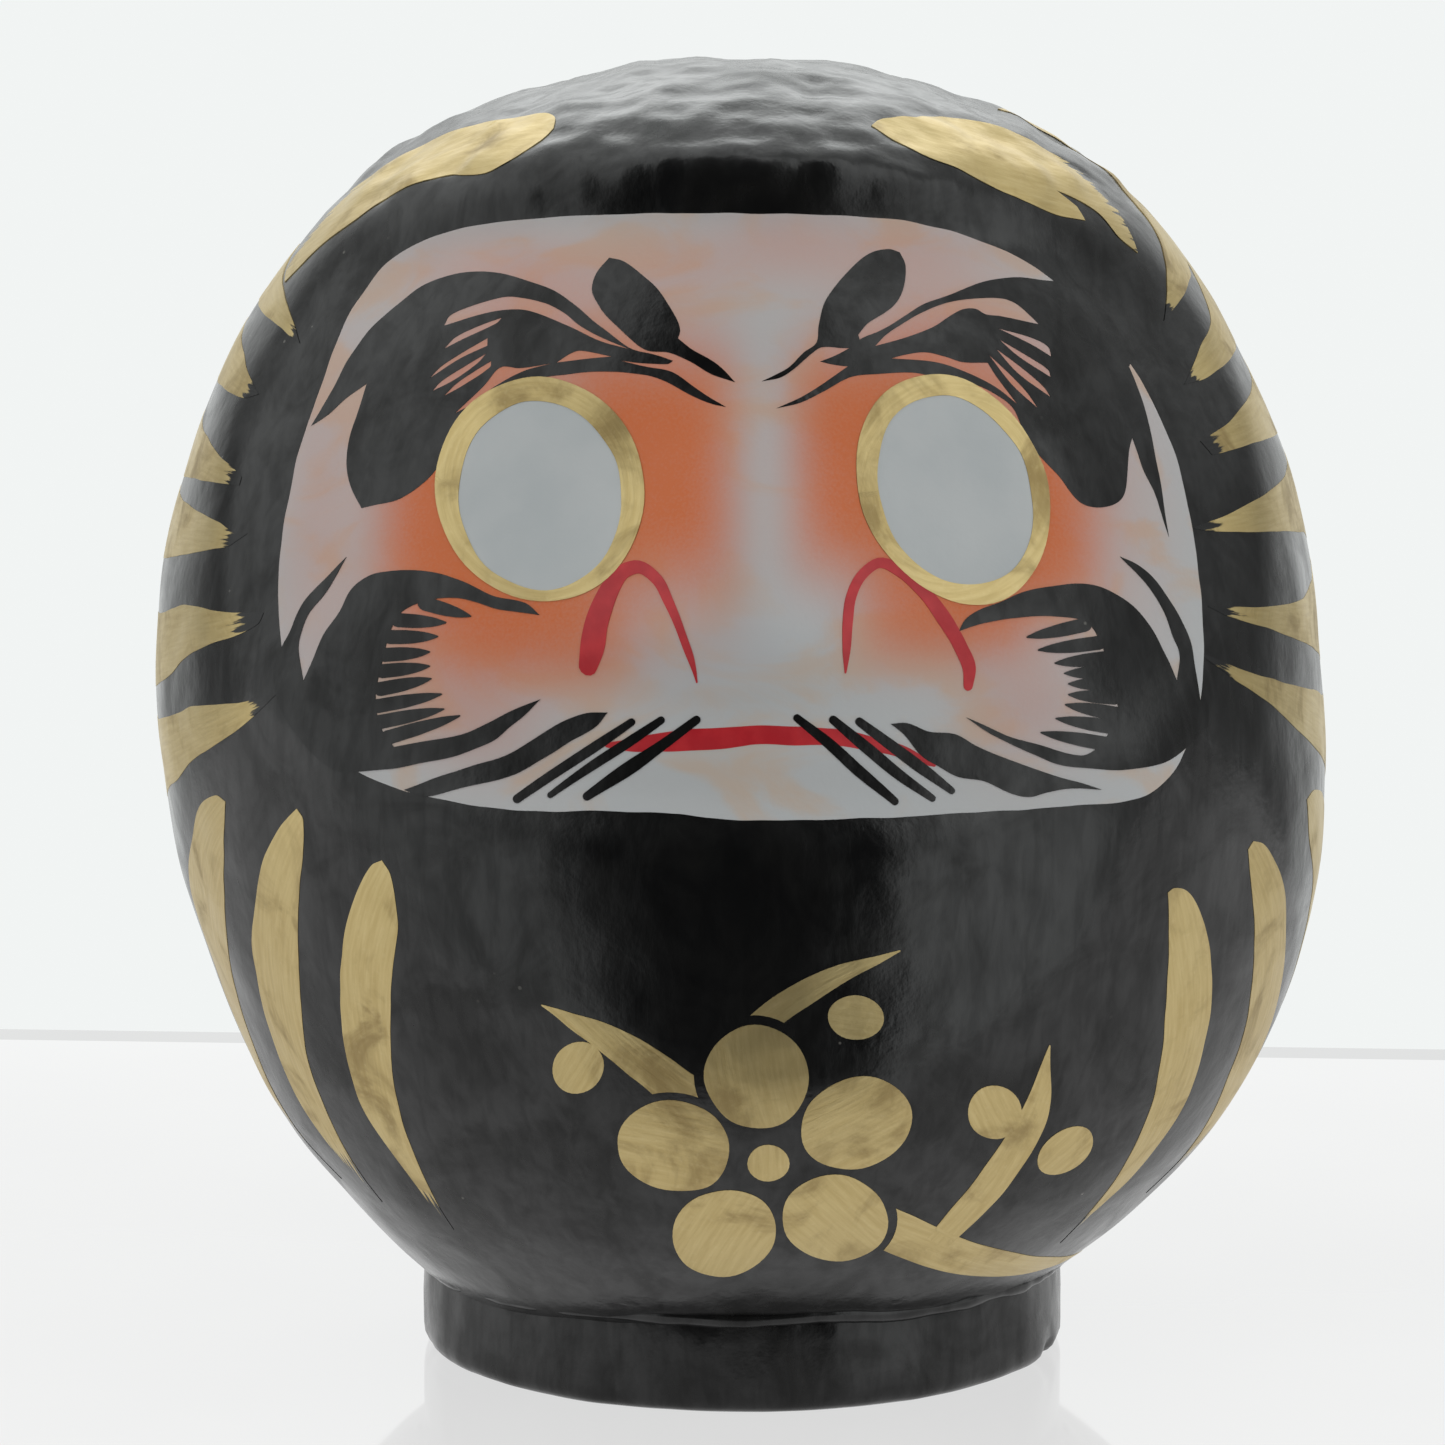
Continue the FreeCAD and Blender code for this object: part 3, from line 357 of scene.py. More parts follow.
def tree_of(objects):
    """A tree to cast rays at, made of the objects' meshes."""
    points, faces = [], []
    for obj in objects:
        start = len(points)
        points += [obj.matrix_world @ vertex.co for vertex in obj.data.vertices]
        faces += [tuple(start + i for i in polygon.vertices) for polygon in obj.data.polygons]
    return BVHTree.FromPolygons(points, faces)


def outermost(tree, centre, direction):
    """Where the surface is, looking back at the centre, stepping aside at seams and over the joint."""
    near_joint = abs(direction.y) < JOINT_NEAR
    places = []
    for nudge in NUDGES:
        aside = Vector((nudge, nudge * 0.7, nudge * 0.4))
        place = tree.ray_cast(centre + direction * 0.3 + aside, -direction)[0]
        if place is not None:
            places.append(place)
        if places and not near_joint:
            break
    # where the joint lies open, rays can slip through it, so the furthest place is the outside
    return max(places, key=lambda place: (place - centre).dot(direction))


def relief(point, layers):
    """The height of layers of unevenness at a point, in millimetres."""
    return sum(height * noise.noise(Vector(point) / size + Vector(start)) for size, height, start in layers)


def dent(point):
    """How far the skin is pushed out or in at a point by the hands that made it, in millimetres."""
    x, y, z = point
    # the crown is lumpier, and the face calmer between its top, its bottom and its sides
    crown = float(smoothstep(148, 158, z))
    face = float(smoothstep(158, 150, z) * smoothstep(80, 88, z) * smoothstep(62, 54, abs(x)) * (y < 0))
    return (relief(point, BODY_DENTS) + crown * relief(point, CROWN_DENTS)) * (1 - FACE_CALM * face)


def build_skin():
    """The lacquered outside of the paper body, cast from the CAD shells and then dented by hand."""
    shells = tree_of([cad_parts["shell_front"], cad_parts["shell_back"]])
    centre = Vector((0, 0, CENTRE_Z)) * MM
    directions, quads = cube_ball(SKIN_CELLS)
    points = np.zeros((len(directions), 3))
    for i, direction in enumerate(directions):
        if direction.z < 0:
            down = direction * ((UNDERSIDE_Z - CENTRE_Z) / direction.z)
            if math.hypot(down.x, down.y) < UNDERSIDE_R:
                points[i] = (down.x, down.y, UNDERSIDE_Z)
                continue
        points[i] = tuple(outermost(shells, centre, direction) / MM)
    quads = np.array(quads)
    edges = np.concatenate([quads[:, [k, (k + 1) % 4]] for k in range(4)])
    count = np.bincount(edges[:, 0], minlength=len(points))[:, None]
    for _ in range(SKIN_SMOOTHINGS):
        total = np.zeros_like(points)
        np.add.at(total, edges[:, 0], points[edges[:, 1]])
        points = (1 - SMOOTHING_SHARE) * points + SMOOTHING_SHARE * total / count
    outwards = points - np.array([0, 0, CENTRE_Z])
    outwards /= np.linalg.norm(outwards, axis=1)[:, None]
    # the dents fade out towards the underside
    depth = np.array([dent(point) * smoothstep(5, 12, point[2]) for point in points])
    points += outwards * depth[:, None]
    points[:, 0] += [lean(z) for z in points[:, 2]]
    return add_mesh("black_lacquer_skin", points, quads.tolist())


def ring_of(name, profile, shape):
    """A closed ring about the Z axis, from the (radius, z) corners of its section, reshaped by hand."""
    count = len(profile)
    points, faces = [], []
    for i in range(RING_STEPS):
        turn = 2 * math.pi * i / RING_STEPS
        for radius, z in profile:
            radius, z = shape(turn, radius, z)
            points.append((radius * math.sin(turn), -radius * math.cos(turn), z))
        for k in range(count):
            a, b = i * count + k, i * count + (k + 1) % count
            after = (i + 1) % RING_STEPS * count - i * count
            faces.append((a, a + after, b + after, b))
    return add_mesh(name, points, faces)


def rounded(corners, steps=6):
    """A dense closed section, from (radius, z, rounding) at its corners."""
    section = []
    for i, (r, z, rounding) in enumerate(corners):
        before, after = corners[i - 1], corners[(i + 1) % len(corners)]
        here = np.array([r, z], float)
        back = np.array(before[:2]) - here
        ahead = np.array(after[:2]) - here
        start = here + back / np.linalg.norm(back) * rounding
        end = here + ahead / np.linalg.norm(ahead) * rounding
        for share in np.linspace(0, 1, steps):
            section.append((1 - share) ** 2 * start + 2 * share * (1 - share) * here + share**2 * end)
        far = np.array(after[:2]) - ahead / np.linalg.norm(ahead) * after[2]
        for share in np.linspace(0, 1, 5)[1:-1]:
            section.append(end + (far - end) * share)
    return section


def foot_shape(turn, radius, z):
    """The moulded foot: slightly out of round and lumpy outside, with a chip out of its lower rim."""
    place = (FOOT_R * math.sin(turn), FOOT_R * math.cos(turn), z)
    outside = float(smoothstep(36, 41, radius))  # the bore stays round
    chip = math.exp(-(((turn - CHIP_TURN) / CHIP_WIDTH) ** 2)) * float(smoothstep(4.0, 1.0, z))
    return radius + outside * (relief(place, FOOT_LUMPS) - CHIP_DEPTH * chip), z + CHIP_RISE * chip


def bead_shape(turn, radius, z):
    """The ragged bead of clay slip and paint, uneven in thickness and wandering up and down."""
    place = (FOOT_R * math.sin(turn), FOOT_R * math.cos(turn), 0)
    thick = BEAD_THICKNESS + relief(place, BEAD_LUMPS)
    return BEAD_R + (radius - BEAD_R) * thick, BEAD_Z + (z - BEAD_Z) * thick + relief(place, BEAD_WANDER)


def add_mesh(name, points, faces):
    """A smooth shaded mesh object, from points in millimetres."""
    mesh = bpy.data.meshes.new(name)
    mesh.from_pydata([tuple(float(value) * MM for value in point) for point in points], [], faces)
    mesh.shade_smooth()
    mesh.validate()
    obj = bpy.data.objects.new(name, mesh)
    bpy.context.scene.collection.objects.link(obj)
    return obj


# ---------------------------------------------------------------- paint films


def hermite(h, start, start_slope, end, end_slope):
    """A point of a smooth curve, a share h of the way along it."""
    return (
        (2 * h**3 - 3 * h**2 + 1) * start
        + (h**3 - 2 * h**2 + h) * start_slope
        + (3 * h**2 - 2 * h**3) * end
        + (h**3 - h**2) * end_slope
    )


def smooth_outline(points, step=0.5, corner=50):
    """A dense closed outline: curves through the points, with corners kept where it turns sharply."""
    points = [np.array(point, float) for point in points]
    count = len(points)
    tangents = []
    for i in range(count):
        before, here, after = points[i - 1], points[i], points[(i + 1) % count]
        a, b = here - before, after - here
        turn = math.degrees(math.acos(np.clip(a @ b / (np.linalg.norm(a) * np.linalg.norm(b)), -1, 1)))
        along = (a + b) / max(np.linalg.norm(a + b), 1e-9)
        tangents.append(None if turn > corner else along)
    dense = []
    for i in range(count):
        start, end = points[i], points[(i + 1) % count]
        long = np.linalg.norm(end - start)
        chord = (end - start) / long
        t0 = chord if tangents[i] is None else tangents[i]
        t1 = chord if tangents[(i + 1) % count] is None else tangents[(i + 1) % count]
        for share in np.arange(0, 1, 1 / max(1, math.ceil(long / step))):
            dense.append(hermite(share, start, long * t0, end, long * t1))
    return dense


def brush(points, step=0.5):
    """The outline of a stroke, from (u, v, half width) along its middle, with round ends."""
    points = np.array(points, float)
    steps = np.concatenate([[0], np.cumsum(np.linalg.norm(np.diff(points[:, :2], axis=0), axis=1))])
    along = np.linspace(0, steps[-1], max(6, int(steps[-1] / step)))
    middle = np.stack([catmull(steps, points[:, k], along) for k in range(3)], axis=1)
    heading = np.gradient(middle[:, :2], axis=0)
    heading /= np.linalg.norm(heading, axis=1)[:, None]
    across = np.stack([-heading[:, 1], heading[:, 0]], axis=1)
    half = np.maximum(middle[:, 2:], 0.04)
    one, other = middle[:, :2] + across * half, middle[:, :2] - across * half
    cap_end = round_cap(middle[-1, :2], heading[-1], across[-1], half[-1, 0])
    cap_start = round_cap(middle[0, :2], -heading[0], -across[0], half[0, 0])
    return list(one) + cap_end + list(other[::-1]) + cap_start


def round_cap(centre, heading, across, half):
    """Points round the end of a stroke: one will do where it is thin."""
    turns = [math.radians(angle) for angle in (60, 30, 0, -30, -60)]
    if half < 0.2:
        turns = turns[2:3]
    return [centre + half * (heading * math.cos(t) + across * math.sin(t)) for t in turns]


def catmull(places, values, wanted):
    """Values at the wanted places on a smooth curve through the given ones."""
    slopes = np.gradient(values, places)
    i = np.clip(np.searchsorted(places, wanted, side="right") - 1, 0, len(places) - 2)
    gap = places[i + 1] - places[i]
    share = (wanted - places[i]) / gap
    return hermite(share, values[i], gap * slopes[i], values[i + 1], gap * slopes[i + 1])


def oval(u, v, half_width, half_height, tilt=0.0, count=72):
    """An ellipse, tilted clockwise as seen from the front, in degrees."""
    turn = math.radians(tilt)
    outline = []
    for angle in np.linspace(0, 2 * math.pi, count, endpoint=False):
        a, b = half_width * math.cos(angle), half_height * math.sin(angle)
        right = a * math.cos(turn) + b * math.sin(turn)
        up = b * math.cos(turn) - a * math.sin(turn)
        outline.append(np.array([u + right, v + up]))
    return outline


def wobbled(outline, amount=0.15, size=4.0):
    """The outline with the slight unsteadiness of a hand-held brush."""
    noise.seed_set(BRUSH_SEED)  # or noise_vector() starts from the clock, and differs from run to run
    moved = []
    for point in outline:
        shift = noise.noise_vector(Vector((point[0] / size, point[1] / size, 7.0)))
        moved.append(point + amount * np.array([shift[0], shift[1]]))
    return moved


def inside(outline, u, v):
    """Which of the points (u, v) lie inside a closed outline."""
    result = np.zeros(len(u), bool)
    before = outline[-1]
    for here in outline:
        crosses = (here[1] > v) != (before[1] > v)
        edge = here[0] + (v - here[1]) * (before[0] - here[0]) / (before[1] - here[1] + 1e-30)
        result ^= crosses & (u < edge)
        before = here
    return result


def covered(points, outlines, holes):
    """Which of the points lie inside any outline and outside every hole."""
    keep = np.zeros(len(points), bool)
    for outline in outlines:
        keep |= inside(outline, points[:, 0], points[:, 1])
    for hole in holes:
        keep &= ~inside(hole, points[:, 0], points[:, 1])
    return keep


def flat_film(outlines, holes, step=FILM_STEP):
    """Points and triangles that fill the union of the outlines, less the holes."""
    corners, edges = [], []
    for outline in outlines + holes:
        start, count = len(corners), len(outline)
        corners += [tuple(point) for point in outline]
        edges += [(start + i, start + (i + 1) % count) for i in range(count)]
    # a grid of even triangles fills the inside, clear of the rim
    low, high = np.min(corners, axis=0), np.max(corners, axis=0)
    rows = np.arange(low[1], high[1], step * 0.87)
    grid = [(u + (k % 2) * step / 2, v) for k, v in enumerate(rows) for u in np.arange(low[0], high[0], step)]
    grid = np.array(grid)
    grid = grid[covered(grid, outlines, holes)]
    rim = np.array(corners)
    clear = np.array([np.min(np.abs(rim - point).sum(axis=1)) > step * 0.55 for point in grid], bool)
    every = corners + [tuple(point) for point in (grid[clear] if len(grid) else [])]
    found = delaunay_2d_cdt([Vector(point) for point in every], edges, [], 0, 1e-5)
    points, triangles = np.array([tuple(v) for v in found[0]]), np.array([tuple(f) for f in found[2]])
    triangles = triangles[covered(points[triangles].mean(axis=1), outlines, holes)]
    used = np.unique(triangles)
    renumber = np.full(len(points), -1)
    renumber[used] = np.arange(len(used))
    return points[used], renumber[triangles]


def carry(skin, chart, point):
    """The place on the skin that a chart point falls on, and the way out of the skin there."""
    u, v = point
    if chart == FRONT:
        start, heading = Vector((u, -150, v)), Vector((0, 1, 0))
    else:
        turn = math.radians(u / ARC_PER_DEGREE)
        start = Vector((lean(v) + 150 * math.sin(turn), -150 * math.cos(turn) * DEPTH_SHARE, v))
        heading = Vector((-math.sin(turn), math.cos(turn) * DEPTH_SHARE, 0)).normalized()
    place, out, _, _ = skin.ray_cast(start * MM, heading)
    return place / MM, out


def open_edges(triangles):
    """The edges that only one triangle has, each in that triangle's own direction."""
    found = {}
    for triangle in triangles:
        for k in range(3):
            edge = (int(triangle[k]), int(triangle[(k + 1) % 3]))
            if edge[::-1] in found:
                del found[edge[::-1]]
            else:
                found[edge] = True
    return list(found)


def film(name, skin, chart, outlines, lift, holes=(), notes=None):
    """A closed thin coat of paint on the skin. notes gives its vertices extra values, by chart point."""
    scale = CHART_SCALE[chart]
    outlines = [[point * scale for point in outline] for outline in outlines]
    holes = [[point * scale for point in hole] for hole in holes]
    points, triangles = flat_film(outlines, holes)
    upper, lower = [], []
    for point in points:
        place, out = carry(skin, chart, point)
        upper.append(place + out * lift)
        lower.append(place + out * (lift - PAINT))
    count = len(points)
    # turn the triangles to face outwards
    a, b, c = (Vector(upper[i]) for i in triangles[0])
    if (b - a).cross(c - a).dot(carry(skin, chart, points[triangles[0][0]])[1]) < 0:
        triangles = triangles[:, ::-1]
    sides = open_edges(triangles)
    faces = [tuple(int(i) for i in t) for t in triangles]
    faces += [tuple(int(i) + count for i in t[::-1]) for t in triangles]
    faces += [(b, a, a + count, b + count) for a, b in sides]
    obj = add_mesh(name, upper + lower, faces)
    rim = {tuple(sorted((a + side, b + side))) for a, b in sides for side in (0, count)}
    for edge in obj.data.edges:
        edge.use_edge_sharp = tuple(sorted(edge.vertices)) in rim
    for label, values in (notes(points / scale) if notes else {}).items():
        values = np.concatenate([values, values]).astype(np.float32)
        kind = "FLOAT" if values.ndim == 1 else "FLOAT_VECTOR"
        layer = obj.data.attributes.new(label, kind, "POINT")
        layer.data.foreach_set("value" if values.ndim == 1 else "vector", values.ravel())
    return obj


def join(name, objects):
    """One object made of several films."""
    with bpy.context.temp_override(active_object=objects[0], selected_editable_objects=objects):
        bpy.ops.object.join()
    objects[0].name = objects[0].data.name = name
    return objects[0]


def brush_frame(outline, scale, tip):
    """A function that notes (along, across, share) for chart points in a stroke with this outline.

    The share runs from 0 at the stroke's start to 1 at its dry tip, and stays 0 if it has no tip.
    """
    places = np.array(outline) * scale
    middle = places.mean(axis=0)
    axes = np.linalg.svd(places - middle)[2]
    if tip is not None and (np.array(tip) * scale - middle) @ axes[0] < 0:
        axes = -axes
    local = (places - middle) @ axes.T
    bend = np.polyfit(local[:, 0], local[:, 1], 2)
    low, high = local[:, 0].min(), local[:, 0].max()

    def measure(points):
        here = (points * scale - middle) @ axes.T
        off = here[:, 1] - np.polyval(bend, here[:, 0])
        share = (here[:, 0] - low) / (high - low)
        return {"brush": np.stack([here[:, 0] - low, off, share * (tip is not None)], axis=1)}

    return measure


# ---------------------------------------------------------------- materials


class Nodes:
    """A node tree, built up a node at a time."""

    def __init__(self, tree):
        self.tree = tree

    def node(self, kind, inputs=None, **settings):
        made = self.tree.nodes.new(kind)
        for key, value in settings.items():
            setattr(made, key, value)
        for key, value in (inputs or {}).items():
            self.put(made.inputs[key], value)
        return made

    def put(self, socket, value):
        if isinstance(value, bpy.types.NodeSocket):
            self.tree.links.new(value, socket)
        elif isinstance(value, tuple) and len(value) == 3 and socket.type == "RGBA":
            socket.default_value = (*value, 1.0)
        else:
            socket.default_value = value

    def maths(self, operation, *values, clamp=False):
        made = self.node("ShaderNodeMath", dict(enumerate(values)), operation=operation, use_clamp=clamp)
        return made.outputs[0]

    def times(self, a, b):
        return self.maths("MULTIPLY", a, b)

    def plus(self, a, b):
        return self.maths("ADD", a, b)

    def ramp(self, value, low, high, to_low=0.0, to_high=1.0):
        """A soft step of the value, between two levels."""
        made = self.node(
            "ShaderNodeMapRange",
            {"Value": value, "From Min": low, "From Max": high, "To Min": to_low, "To Max": to_high},
            interpolation_type="SMOOTHSTEP",
        )
        return made.outputs["Result"]

    def mix(self, share, a, b):
        """A share of colour b over colour a."""
        made = self.node("ShaderNodeMix", data_type="RGBA")
        for socket, value in zip((made.inputs[0], made.inputs[6], made.inputs[7]), (share, a, b)):
            self.put(socket, value)
        return made.outputs[2]

    def blend(self, share, a, b):
        """A share of value b over value a."""
        return self.node("ShaderNodeMix", {0: share, 2: a, 3: b}, data_type="FLOAT").outputs[0]

    def parts(self, vector):
        """The three parts of a vector."""
        return self.node("ShaderNodeSeparateXYZ", {"Vector": vector}).outputs


class Shader(Nodes):
    """A material of a surface. Its patterns are laid out in the object's own coordinates."""

    def __init__(self, name):
        self.material = bpy.data.materials.new(name)
        self.material.use_nodes = True
        super().__init__(self.material.node_tree)
        self.surface = self.tree.nodes["Principled BSDF"]
        self.place = self.node("ShaderNodeTexCoord").outputs["Object"]

    def set(self, **values):
        for key, value in values.items():
            self.put(self.surface.inputs[key.replace("_", " ")], value)

    def noise(self, scale, detail=3.0, vector=None, stretch=None, distortion=0.0, roughness=0.5):
        vector = vector or self.place
        if stretch:
            vector = self.node("ShaderNodeMapping", {"Vector": vector, "Scale": stretch}).outputs[0]
        values = {"Vector": vector, "Scale": scale, "Detail": detail, "Distortion": distortion}
        values["Roughness"] = roughness
        return self.node("ShaderNodeTexNoise", values).outputs[0]

    def specks(self, scale, size):
        """Round specks: 1 inside and 0 outside."""
        cells = self.node("ShaderNodeTexVoronoi", {"Vector": self.place, "Scale": scale})
        return self.ramp(cells.outputs["Distance"], size, size * 0.5)

    def attribute(self, name):
        return self.node("ShaderNodeAttribute", attribute_name=name)

    def bump(self, height, distance, strength=1.0):
        made = self.node("ShaderNodeBump", {"Height": height, "Distance": distance, "Strength": strength})
        return made.outputs[0]


BLACK, BLACK_WARM = (0.0045, 0.0045, 0.0047), (0.008, 0.0078, 0.0075)
# the crown colour is partly dust and partly a painted sheen, making the top lighter as light from above would
CROWN_SHEEN_AND_DUST, DUST = (0.046, 0.048, 0.047), (0.23, 0.22, 0.20)
FACE_WHITE, FACE_PEACH, FACE_BLUE = (0.565, 0.575, 0.58), (0.65, 0.46, 0.315), (0.55, 0.575, 0.595)
ORANGE = (0.735, 0.175, 0.05)
EYE_DULL, EYE_CLEAR, EYE_BLUE = (0.54, 0.57, 0.58), (0.60, 0.62, 0.625), (0.56, 0.59, 0.61)
GOLD, GOLD_LIGHT, GOLD_THIN = (0.545, 0.415, 0.18), (0.655, 0.52, 0.25), (0.30, 0.21, 0.085)
GOLD_CLOUD, GOLD_GRAIN = (0.66, 0.535, 0.27), (0.74, 0.62, 0.36)
RED, RED_THIN = (0.50, 0.013, 0.022), (0.64, 0.028, 0.036)
CLAY_DARK, CLAY_LIGHT, GRIT = (0.20, 0.125, 0.075), (0.31, 0.21, 0.135), (0.45, 0.37, 0.28)
LACQUER_SHINE = 0.56
CROWN_FROM, CROWN_TO = 0.158, 0.168  # metres up, between which the crown's painted sheen and dust, and its stronger shine, set in


def black_lacquer(name, gloss=1.0):
    """Hand-brushed black lacquer over paper pulp, with a little dust, patches that took less shine, and a
    lighter crown that is partly dust and partly painted sheen.
    """
    s = Shader(name)
    streaks = s.noise(420, 4, stretch=(1.0, 1.0, 0.22), distortion=0.5, roughness=0.6)
    lumps = s.noise(230, 4, roughness=0.55)
    fine = s.noise(1500, 2)
    patches = s.noise(75, 5, distortion=0.9, roughness=0.6)
    high = s.parts(s.place)["Z"]
    # painted sheen and dust: the lacquer's colour turns lighter towards the top of the crown, in patches
    crown_sheen_and_dust = s.times(s.ramp(high, CROWN_FROM + 0.001, CROWN_TO), s.ramp(patches, 0.25, 0.7, 0.25, 1.0))
    specks = s.times(s.specks(170, 0.055), s.ramp(s.noise(23, 2), 0.50, 0.62))
    colour = s.mix(s.ramp(patches, 0.35, 0.7), BLACK, BLACK_WARM)
    colour = s.mix(crown_sheen_and_dust, colour, CROWN_SHEEN_AND_DUST)
    colour = s.mix(s.times(specks, 0.6), colour, DUST)
    height = s.times(lumps, s.ramp(high, 0.150, 0.166, 1.0, 1.9))
    height = s.plus(height, s.times(streaks, 0.22))
    height = s.plus(height, s.times(fine, 0.05))
    shine = s.times(s.ramp(streaks, 0.30, 0.66, 0.78, 1.10), s.ramp(patches, 0.66, 0.40, 0.66, 1.04))
    shine = s.times(shine, s.ramp(high, CROWN_FROM, CROWN_TO, 1.0, 1.4))
    s.set(
        Base_Color=colour,
        Roughness=s.plus(s.ramp(patches, 0.3, 0.72, 0.15, 0.27), s.ramp(streaks, 0.4, 0.75, 0.0, 0.05)),
        Specular_IOR_Level=s.times(shine, LACQUER_SHINE * gloss),
        Normal=s.bump(height, 0.00016, 0.6),
    )
    return s.material


def face_paint():
    """White body colour with traces of peach and blue, and an orange blush sprayed round the eyes."""
    s = Shader("face_paint")
    peach = s.ramp(s.noise(95, 6, stretch=(0.7, 1.0, 1.3), distortion=0.6), 0.45, 0.63)
    blue = s.ramp(s.noise(48, 4, stretch=(1.0, 1.0, 1.7)), 0.48, 0.72)
    base = s.mix(s.times(peach, 0.58), FACE_WHITE, FACE_PEACH)
    base = s.mix(s.times(blue, 0.5), base, FACE_BLUE)
    grain = s.maths("MULTIPLY_ADD", s.noise(2600, 2), 0.22, 0.89)
    spray = s.maths("MULTIPLY", s.attribute("blush").outputs["Fac"], grain, clamp=True)
    weave = s.plus(s.noise(420, 3), s.times(s.noise(1500, 2), 0.35))
    s.set(
        Base_Color=s.mix(spray, base, ORANGE),
        Roughness=s.ramp(s.noise(130, 3), 0.3, 0.7, 0.48, 0.62),
        Normal=s.bump(weave, 0.00010, 0.5),
    )
    return s.material


def eye_paint():
    """The blank eyes' smooth white, with faint upright brush streaks."""
    s = Shader("eye_white_paint")
    streaks = s.noise(190, 4, stretch=(1.0, 1.0, 0.35))
    colour = s.mix(s.ramp(s.noise(70, 3), 0.35, 0.7), EYE_DULL, EYE_CLEAR)
    s.set(
        Base_Color=s.mix(s.times(s.ramp(streaks, 0.55, 0.8), 0.35), colour, EYE_BLUE),
        Roughness=s.ramp(streaks, 0.3, 0.7, 0.4, 0.55),
        Normal=s.bump(s.noise(520, 3), 0.00009, 0.5),
    )
    return s.material


def gold_paint(name):
    """Bronze powder paint, brushed on, which runs out into bristle marks at a stroke's dry tip."""
    s = Shader(name)
    along, across, share = s.parts(s.attribute("brush").outputs["Vector"])
    lane = s.node("ShaderNodeCombineXYZ", {"X": s.times(along, 0.09), "Y": across, "Z": 0.0}).outputs[0]
    bristle = s.noise(1.5, 4, vector=lane, roughness=0.6)
    grain = s.noise(1300, 3)
    blotch = s.noise(95, 5, distortion=0.7, roughness=0.6)
    cloud = s.noise(45, 3)
    colour = s.mix(s.ramp(bristle, 0.25, 0.75), GOLD, GOLD_LIGHT)
    colour = s.mix(s.times(s.ramp(blotch, 0.48, 0.70), 0.75), colour, GOLD_THIN)
    colour = s.mix(s.times(s.ramp(cloud, 0.45, 0.7), 0.35), colour, GOLD_CLOUD)
    colour = s.mix(s.times(s.ramp(grain, 0.55, 0.8), 0.2), colour, GOLD_GRAIN)
    worn = s.times(s.ramp(share, 0.70, 1.12), 1.15)
    gaps = s.ramp(s.maths("SUBTRACT", worn, bristle), 0.06, 0.16)
    height = s.plus(s.times(bristle, 0.8), s.times(grain, 0.15))
    height = s.plus(height, s.noise(230, 4, roughness=0.55))
    s.set(
        Base_Color=s.mix(gaps, colour, BLACK),
        Metallic=s.maths("SUBTRACT", 0.85, s.times(gaps, 0.85)),
        Roughness=s.maths("SUBTRACT", s.ramp(blotch, 0.3, 0.75, 0.34, 0.50), s.times(gaps, 0.2)),
        Normal=s.bump(height, 0.00014, 0.5),
    )
    return s.material


def red_paint():
    """The thin red of the mouth and nose lines."""
    s = Shader("red_line_paint")
    s.set(
        Base_Color=s.mix(s.ramp(s.noise(260, 4), 0.35, 0.75), RED, RED_THIN),
        Roughness=s.ramp(s.noise(190, 3), 0.3, 0.7, 0.38, 0.5),
        Normal=s.bump(s.noise(700, 3), 0.0001, 0.5),
    )
    return s.material


def bare_clay():
    s = Shader("bare_clay")
    lumps, grit = s.noise(150, 5), s.noise(1400, 3)
    colour = s.mix(s.ramp(lumps, 0.3, 0.7), CLAY_DARK, CLAY_LIGHT)
    s.set(
        Base_Color=s.mix(s.times(s.specks(420, 0.16), 0.6), colour, GRIT),
        Roughness=s.ramp(grit, 0.3, 0.7, 0.8, 0.95),
        Normal=s.bump(s.plus(lumps, s.times(grit, 0.4)), 0.0006, 0.7),
    )
    return s.material


def bare_paper(name, light, dark):
    """Unpainted paper, with fibres and stains between a light and a dark colour."""
    s = Shader(name)
    fibres = s.noise(650, 5, stretch=(1.0, 0.3, 1.0), distortion=1.2)
    clouds = s.noise(60, 3)
    colour = s.mix(s.ramp(fibres, 0.35, 0.7), dark, light)
    s.set(
        Base_Color=s.mix(s.times(s.ramp(clouds, 0.45, 0.75), 0.35), colour, dark),
        Roughness=s.ramp(clouds, 0.3, 0.7, 0.75, 0.9),
        Normal=s.bump(fibres, 0.0002, 0.6),
    )
    return s.material


# ---------------------------------------------------------------- building the painting


# Where the orange is sprayed on the face, as (x, z, spread across, spread up, strength). Patches have
# a plateau and a soft edge, and haze fades all the way.
SPRAY = [
    (-11.5, 124.5, 11.0, 15.5, 1.0), (-35.5, 118, 10.8, 14, 1.0), (-27, 110, 12.8, 12, 0.95),
    (15.7, 125, 10.6, 14, 1.0), (33, 118, 12.2, 13, 1.0), (24.5, 111, 11.3, 10.6, 0.90),
]
HAZE = [
    (-26, 138, 14, 8, 0.55), (24.5, 137, 12, 8, 0.60), (-30, 147, 14, 5, 0.30), (19, 149, 14, 5, 0.30),
    (-8, 148, 11, 5, 0.26), (5, 151, 8, 4, 0.22), (-53, 116, 7, 24, 0.28), (49, 116, 6, 20, 0.14),
    (-33, 94, 9, 7, 0.32), (35, 96, 8, 8, 0.30), (-39, 103, 7, 8, 0.35), (-16, 107, 12, 7, 0.30),
    (-32, 133, 9, 6, 0.55), (32, 133, 9, 6, 0.50),
]


def blush(points):
    """How much orange there is at points of the face."""
    x, z = points[:, 0], points[:, 1]
    clear = np.ones(len(points))
    for patches, power in ((SPRAY, 4), (HAZE, 2)):
        for at_x, at_z, across, up, strength in patches:
            spread = np.abs((x - at_x) / across) ** power + np.abs((z - at_z) / up) ** power
            clear *= 1 - strength * np.exp(-spread)
    return {"blush": 1 - clear}


